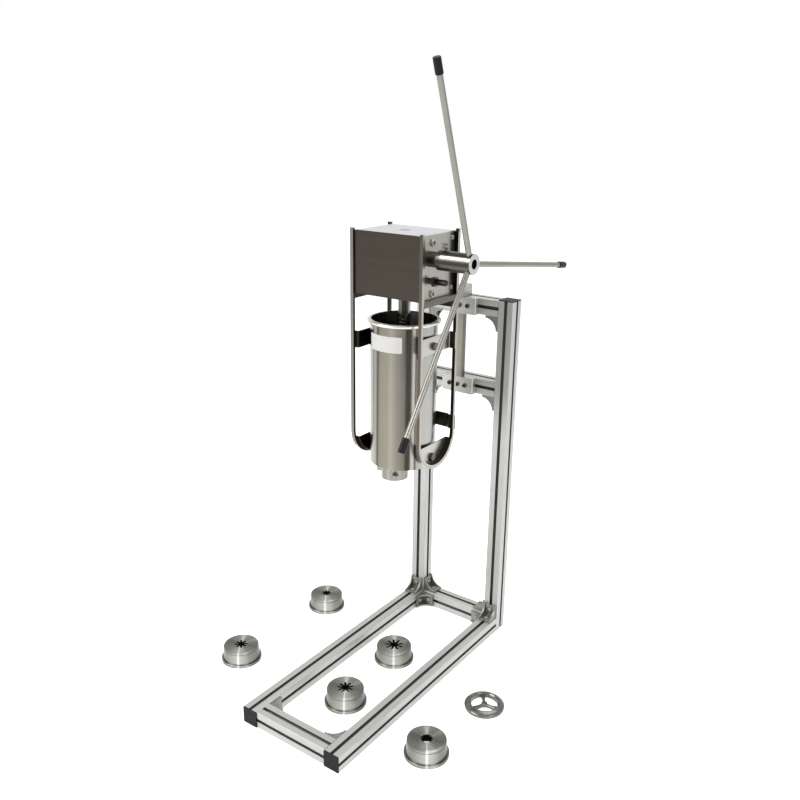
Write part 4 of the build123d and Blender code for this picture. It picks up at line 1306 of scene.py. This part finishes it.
@dataclass(frozen=True)
class Press(Assembly):
    """The cylinder with its outlet, and the rack with its piston."""

    rim_from: float = 0.866
    inside_top: float = 0.8735
    inside_floor: float = 0.5405
    inside_radius: float = 0.0741
    label_radius: float = 75.22 * MM
    label_thickness: float = 0.16 * MM
    label_angles: tuple[float, float] = (-126.0, -57.5)
    label_heights: tuple[float, float] = (811.5 * MM, 847.0 * MM)
    label_corner: float = 2.5 * MM
    label_columns: int = 40
    drum_reflection_bands: Bands = (
        (-144, "#4A4841"), (-137, "#5D5C55"), (-133.5, "#8F8E87"), (-118, "#97968F"),
        (-109, "#85837C"), (-106.5, "#5E5C55"), (-104.5, "#2C2A24"), (-102, "#5E5C54"),
        (-98, "#767467"), (-82, "#7F7C6F"), (-76, "#8D8A7E"), (-64, "#75726A"), (-53, "#625E55"),
        (-49, "#2B2923"), (-43, "#33302A"), (-40, "#9C9A94"), (-36, "#A3A29B"), (-33.5, "#46433B"),
        (-31.5, "#615E57"), (-28, "#96958E"), (-8, "#A1A19C"), (16, "#908E88"), (30, "#6D6B65"),
        (38, "#54524C"), (58, "#9B9A95"), (88, "#6D6B65"), (96, "#44423B"), (108, "#8D8C85"),
        (150, "#A1A09B"), (178, "#78776F"),
    )
    inside_shade_and_glint_bands: Bands = (
        (-150, "#3E3D3A"), (-60, "#35342F"), (20, "#4A4946"), (60, "#5A5957"), (94, "#3F3E3B"),
        (99, "#A5A4A6"), (112, "#B4B3B6"), (117, "#4A4946"), (135, "#3A3936"), (165, "#5A5956"),
        (200, "#4B4A46"),
    )

    def label(self) -> None:
        """Stick the blank label round the cylinder's front."""
        start, end = (math.radians(angle) for angle in self.label_angles)
        inner, outer = self.label_radius, self.label_radius + self.label_thickness
        outlines = []
        for step in range(self.label_columns + 1):
            edge = min(step, self.label_columns - step) / self.label_columns * (end - start) * inner
            short = max(0.0, self.label_corner - edge)
            drop = self.label_corner - math.sqrt(max(0.0, self.label_corner**2 - short**2))
            low, high = self.label_heights[0] + drop, self.label_heights[1] - drop
            angle = start + (end - start) * step / self.label_columns
            outlines.append([
                Vector(HEAD) + polar(angle, radius, height)
                for radius, height in ((inner, low), (inner, high), (outer, high), (outer, low))
            ])
        work = bmesh.new()
        loft(work, outlines)
        self.keep(add_object("blank_label", work), "piston", finish=PaperLabel("blank_paper", "#DEDCDA"))

    def is_inside(self, centre: Vector, normal: Vector) -> bool:
        """Tell the faces of the cylinder's inner wall and floor.

        Args:
            centre: The face's centre.
            normal: Its normal.

        Returns:
            Whether it is one of them.
        """
        back = centre.y - HEAD_Y
        within = math.hypot(centre.x, back) < self.inside_radius
        inward = normal.x * centre.x + normal.y * back < 0 or normal.z > 0.7
        return within and inward and self.inside_floor < centre.z < self.inside_top

    def build(self) -> None:
        """Dress the cylinder with painted reflections, a painted highlight on its rim and painted shade
        inside, the outlet and the rack.
        """
        # The drum carries painted reflections in tall bands round its axis.
        drum = BandedMetal("drum_steel", HEAD, self.drum_reflection_bands, rough=0.22, waver=0.004)
        self.dress(drum, "cylinder", angle=30.0)
        # Painted highlight on the rolled rim.
        rim = BrushedMetal("rim_highlight", "#D6D5D1", Grain.FREE, rough=0.2, spread=0.05)
        self.paint(rim, lambda centre, normal: centre.z > self.rim_from, "cylinder")
        # Painted shade on the inner wall and floor, with painted reflection stripes.
        inside = BandedMetal("drum_inside_shade_and_glints", HEAD, self.inside_shade_and_glint_bands, rough=0.3, waver=0.003)
        self.paint(inside, self.is_inside, "cylinder")
        self.label()
        self.dress(TurnedMetal("ring_steel", "#8D8C85", OUTLET), "outlet_ring")
        self.dress(TurnedMetal("die_steel", "#A8A7A1", OUTLET), "fitted_die")
        self.dress(TurnedMetal("rack_steel", "#8A8982", HEAD), "rack_rod", angle=20.0)
        self.dress(Moulded("piston_nylon", "#E6E4DC", rough=0.5, lift=1.0), "piston_disc")
        self.dress(Moulded("seal_rubber", "#C9C5B8", rough=0.5, lift=1.0), "piston_seal")
        self.dress(CastMetal("piston_nut_steel", "#8F8E89"), "piston_nut")


@dataclass(frozen=True)
class LooseNozzles(Assembly):
    """The five star discs and the spoked ring that lie on the floor."""

    # Each star's number, its diameter in millimetres and its count of slots.
    stars: tuple[tuple[str, float, int], ...] = (
        ("one", 27.0, 8), ("two", 45.0, 9), ("three", 38.0, 9), ("four", 33.0, 8), ("five", 27.0, 11),
    )
    flange_radius: float = 49.0 * MM
    flange: float = 7.0 * MM
    lower_radius: float = 45.0 * MM
    top_radius: float = 43.0 * MM
    inner_radius: float = 37.0 * MM
    height: float = 38.0 * MM
    top: float = 7.0 * MM
    edge: float = 1.6 * MM
    groove: float = 1.3 * MM
    groove_drop: float = 4.2 * MM
    slot_half: float = 2.7 * MM
    core_share: float = 0.42
    spokes_from: float = 5.7
    # Radius and height, and for the spokes reach, half width and top, all in millimetres.
    ring_profile: Profile = (
        (31.0, 0.4), (31.4, 0.0), (45.6, 0.0), (46.0, 0.4), (46.0, 6.0), (45.0, 7.2),
        (36.5, 12.0), (33.5, 12.0), (31.0, 9.5),
    )
    boss_profile: Profile = ((0.0, 0.0), (6.4, 0.0), (7.0, 0.6), (7.0, 8.2), (6.2, 9.0), (0.0, 9.0))
    spoke_stations: tuple[Point, ...] = (
        (4.0, 3.2, 7.6), (18.0, 3.0, 7.4), (27.0, 4.4, 7.8), (33.0, 7.0, 8.4),
    )

    def star_line(self, diameter: float, points: int) -> list[tuple[float, float]]:
        """The star's outline: a round core with round-ended slots that radiate from it.

        Args:
            diameter: The star's diameter over the slots.
            points: The number of slots.

        Returns:
            Pairs of angle and radius, once round.
        """
        half = self.slot_half
        reach = diameter / 2 - half
        core = diameter / 2 * self.core_share
        gap = math.pi / points
        tip = math.atan2(half, reach)
        root = min(math.asin(min(0.95, half / core)), gap * 0.9)
        offsets = [0.0, 0.45 * tip, 0.8 * tip, tip]
        offsets += [tip + (root - tip) * share for share in (0.12, 0.3, 0.6, 1.0)]
        offsets += [root + (gap - root) * share for share in (0.5, 1.0)]
        line: list[tuple[float, float]] = []
        for number in range(points):
            middle = TURN / 4 + TURN * number / points
            for offset in [-offset for offset in reversed(offsets[1:-1])] + offsets:
                span = abs(offset)
                if span <= tip:
                    radius = reach * math.cos(span)
                    radius += math.sqrt(max(0.0, half**2 - (reach * math.sin(span)) ** 2))
                else:
                    radius = half / math.sin(span)
                line.append((middle + offset, max(core, radius)))
        return line

    def cup(self, name: str, line: list[tuple[float, float]], middle: Vector) -> bpy.types.Object:
        """One nozzle cup as a mesh on the CAD node's place.

        Args:
            name: The cup's name.
            line: The outline of its star.
            middle: The middle of the CAD node.

        Returns:
            The cup.
        """
        wide, flange, high = self.flange_radius, self.flange, self.top_radius
        top, under = self.height, self.height - self.top
        groove = top - self.groove_drop
        profile = (
            (None, under), (self.inner_radius, under), (self.inner_radius, 0.0), (wide, 0.0),
            (wide, flange * 0.35), (wide - 0.7 * MM, flange * 0.5), (wide, flange * 0.65),
            (wide, flange - 0.4 * MM), (wide - 0.4 * MM, flange), (self.lower_radius, flange),
            (self.lower_radius, flange + 2 * MM), (high, groove - self.groove),
            (high - self.groove, groove - self.groove), (high - self.groove, groove), (high, groove),
            (high, top - self.edge), (high - self.edge * 0.35, top - self.edge * 0.3),
            (high - self.edge, top), (high * 0.72, top), (None, top),
        )
        ground = Vector((middle.x, middle.y, 0.0))
        work = bmesh.new()
        outlines = [
            [ground + polar(angle, radius or star, height) for angle, star in line]
            for radius, height in profile
        ]
        loft(work, outlines, closed=True)
        return add_object(name, work, 26.0)

    def ring(self, middle: Vector) -> bpy.types.Object:
        """The flat ring with three tapered spokes and a small hub, on the CAD node's place.

        Args:
            middle: The middle of the CAD node.

        Returns:
            The ring.
        """
        ground = Matrix.Translation((middle.x, middle.y, 0.0))
        work = bmesh.new()
        for profile, count, closed in ((self.ring_profile, 96, True), (self.boss_profile, 40, False)):
            loft(work, [circle(r * MM, z * MM, count, ground) for r, z in profile], closed)
        for number in range(3):
            turn = ground @ Matrix.Rotation(math.radians(self.spokes_from + 120 * number), 4, "Z")
            loft(work, [
                [
                    turn @ Vector((reach * MM, y * MM, z * MM))
                    for y, z in ((-half, 0.3), (half, 0.3), (half, top - 1), (half - 1, top),
                                 (1 - half, top), (-half, top - 1))
                ]
                for reach, half, top in self.spoke_stations
            ])
        return add_object("three_spoke_ring", work, 30.0)

    def build(self) -> None:
        """Cut each cup, dress it with painted reflection wedges about its own axis and painted shade
        inside, then the ring.
        """
        for number, diameter, points in self.stars:
            node = f"nozzle_disc_{number}"
            middle = middle_of(node)

            def inside(centre: Vector, normal: Vector) -> bool:
                """Whether a face lies under the top, within the cup or its star."""
                reach = math.hypot(centre.x - middle.x, centre.y - middle.y)
                return centre.z < self.height - 0.2 * MM and reach < self.inner_radius + 0.1 * MM

            cup = self.cup(f"star_cup_{number}", self.star_line(diameter * MM, points), middle)
            steel = TurnedCup(f"cup_steel_{number}", (middle.x, middle.y, 0.0))
            self.keep(cup, "nozzle", stands_for=[node], finish=steel)
            # Painted shade inside the cup and its star.
            shade = BrushedMetal(f"cup_inside_shade_{number}", "#161513", Grain.FREE, rough=0.7, spread=0.3)
            paint_faces(cup, shade, inside)
        middle = middle_of("spoke_ring")
        steel = TurnedMetal("spoke_steel", "#6F6E69", (middle.x, middle.y, 0.0), streak=0.2)
        self.keep(self.ring(middle), "ring", stands_for=["spoke_ring"], finish=steel)


# ------------------------------------------------------------------------------------------------
# studio
# ------------------------------------------------------------------------------------------------


@dataclass(frozen=True)
class Studio:
    """The pale floor, the soft lamps, the world and the camera."""

    eye: Point = (1.085713, -1.786561, 1.302241)
    azimuth: float = 35.7296
    elevation: float = 18.3419
    roll: float = 0.6878
    lens: float = 38.92
    sensor: float = 36.0
    floor_size: float = 14.0
    floor_glow: float = 0.66
    world_strength: float = 0.55
    target: Point = (0.0, -0.3, 0.65)
    lamps: tuple[tuple[str, Point, float, float], ...] = (
        ("key_softbox", (-1.6, -2.6, 2.7), 1.8, 62.0),
        ("fill_softbox", (2.8, -1.2, 1.9), 1.6, 26.0),
        ("top_softbox", (0.2, 0.6, 3.2), 2.2, 34.0),
    )

    def backdrop(self) -> None:
        """Lay the floor, which looks white and keeps the object's shadow."""
        work = bmesh.new()
        bmesh.ops.create_grid(work, x_segments=1, y_segments=1, size=self.floor_size / 2)
        floor = add_object("studio_floor", work)
        graph = Graph("studio_white")
        glow = graph.math("MULTIPLY", graph.looked_at(), self.floor_glow)
        graph.surface({"Base Color": (0.93, 0.93, 0.93, 1.0), "Roughness": 0.9,
                       "Emission Color": (1.0, 1.0, 1.0, 1.0), "Emission Strength": glow})
        floor.data.materials.append(graph.material)

    def world(self) -> None:
        """Make the world white where it is seen and softer where it lights."""
        world = bpy.data.worlds.new("studio_world")
        world.use_nodes = True
        nodes = Nodes(world.node_tree)
        seen = nodes.node("ShaderNodeBackground", {"Color": (1.0, 1.0, 1.0, 1.0)})[0]
        soft = {"Color": (0.97, 0.98, 1.0, 1.0), "Strength": self.world_strength}
        light = nodes.node("ShaderNodeBackground", soft)[0]
        mixed = nodes.node("ShaderNodeMixShader", {0: nodes.looked_at(), 1: light, 2: seen})[0]
        nodes.node("ShaderNodeOutputWorld", {0: mixed})
        bpy.context.scene.world = world

    def light(self) -> None:
        """Hang the soft lamps, each aimed at the middle of the press."""
        for name, place, size, power in self.lamps:
            lamp = bpy.data.lights.new(name, "AREA")
            lamp.shape = "SQUARE"
            lamp.size = size
            lamp.energy = power
            made = new_object(name, lamp)
            made.location = place
            made.rotation_mode = "QUATERNION"
            made.rotation_quaternion = (Vector(self.target) - Vector(place)).to_track_quat("-Z", "Y")

    def camera(self) -> None:
        """Stand the camera where the photograph was taken from."""
        azimuth, elevation, roll = (math.radians(a) for a in (self.azimuth, self.elevation, self.roll))
        level = math.cos(elevation)
        ahead = Vector((-math.sin(azimuth) * level, math.cos(azimuth) * level, -math.sin(elevation)))
        right = ahead.cross(UP).normalized()
        upward = right.cross(ahead)
        across = math.cos(roll) * right + math.sin(roll) * upward
        above = -math.sin(roll) * right + math.cos(roll) * upward
        lens = bpy.data.cameras.new("photo_camera")
        lens.sensor_width = self.sensor
        lens.sensor_fit = "HORIZONTAL"
        lens.lens = self.lens
        lens.clip_end = 50.0
        made = new_object("photo_camera", lens)
        made.matrix_world = axes(self.eye, across, above, -ahead)
        bpy.context.scene.camera = made

    def build(self) -> None:
        """Set up the whole studio."""
        bpy.context.scene.view_settings.view_transform = "Standard"
        self.camera()
        self.world()
        self.backdrop()
        self.light()
        LOG.info("studio is ready")


def main() -> None:
    """Build the studio and every sub-assembly in order."""
    Studio().build()
    for assembly in (Stand(), Head(), Gearbox(), Drive(), Press(), LooseNozzles()):
        assembly.build()
        LOG.info("%s is ready", type(assembly).__name__)


if __name__ == "__main__":
    main()
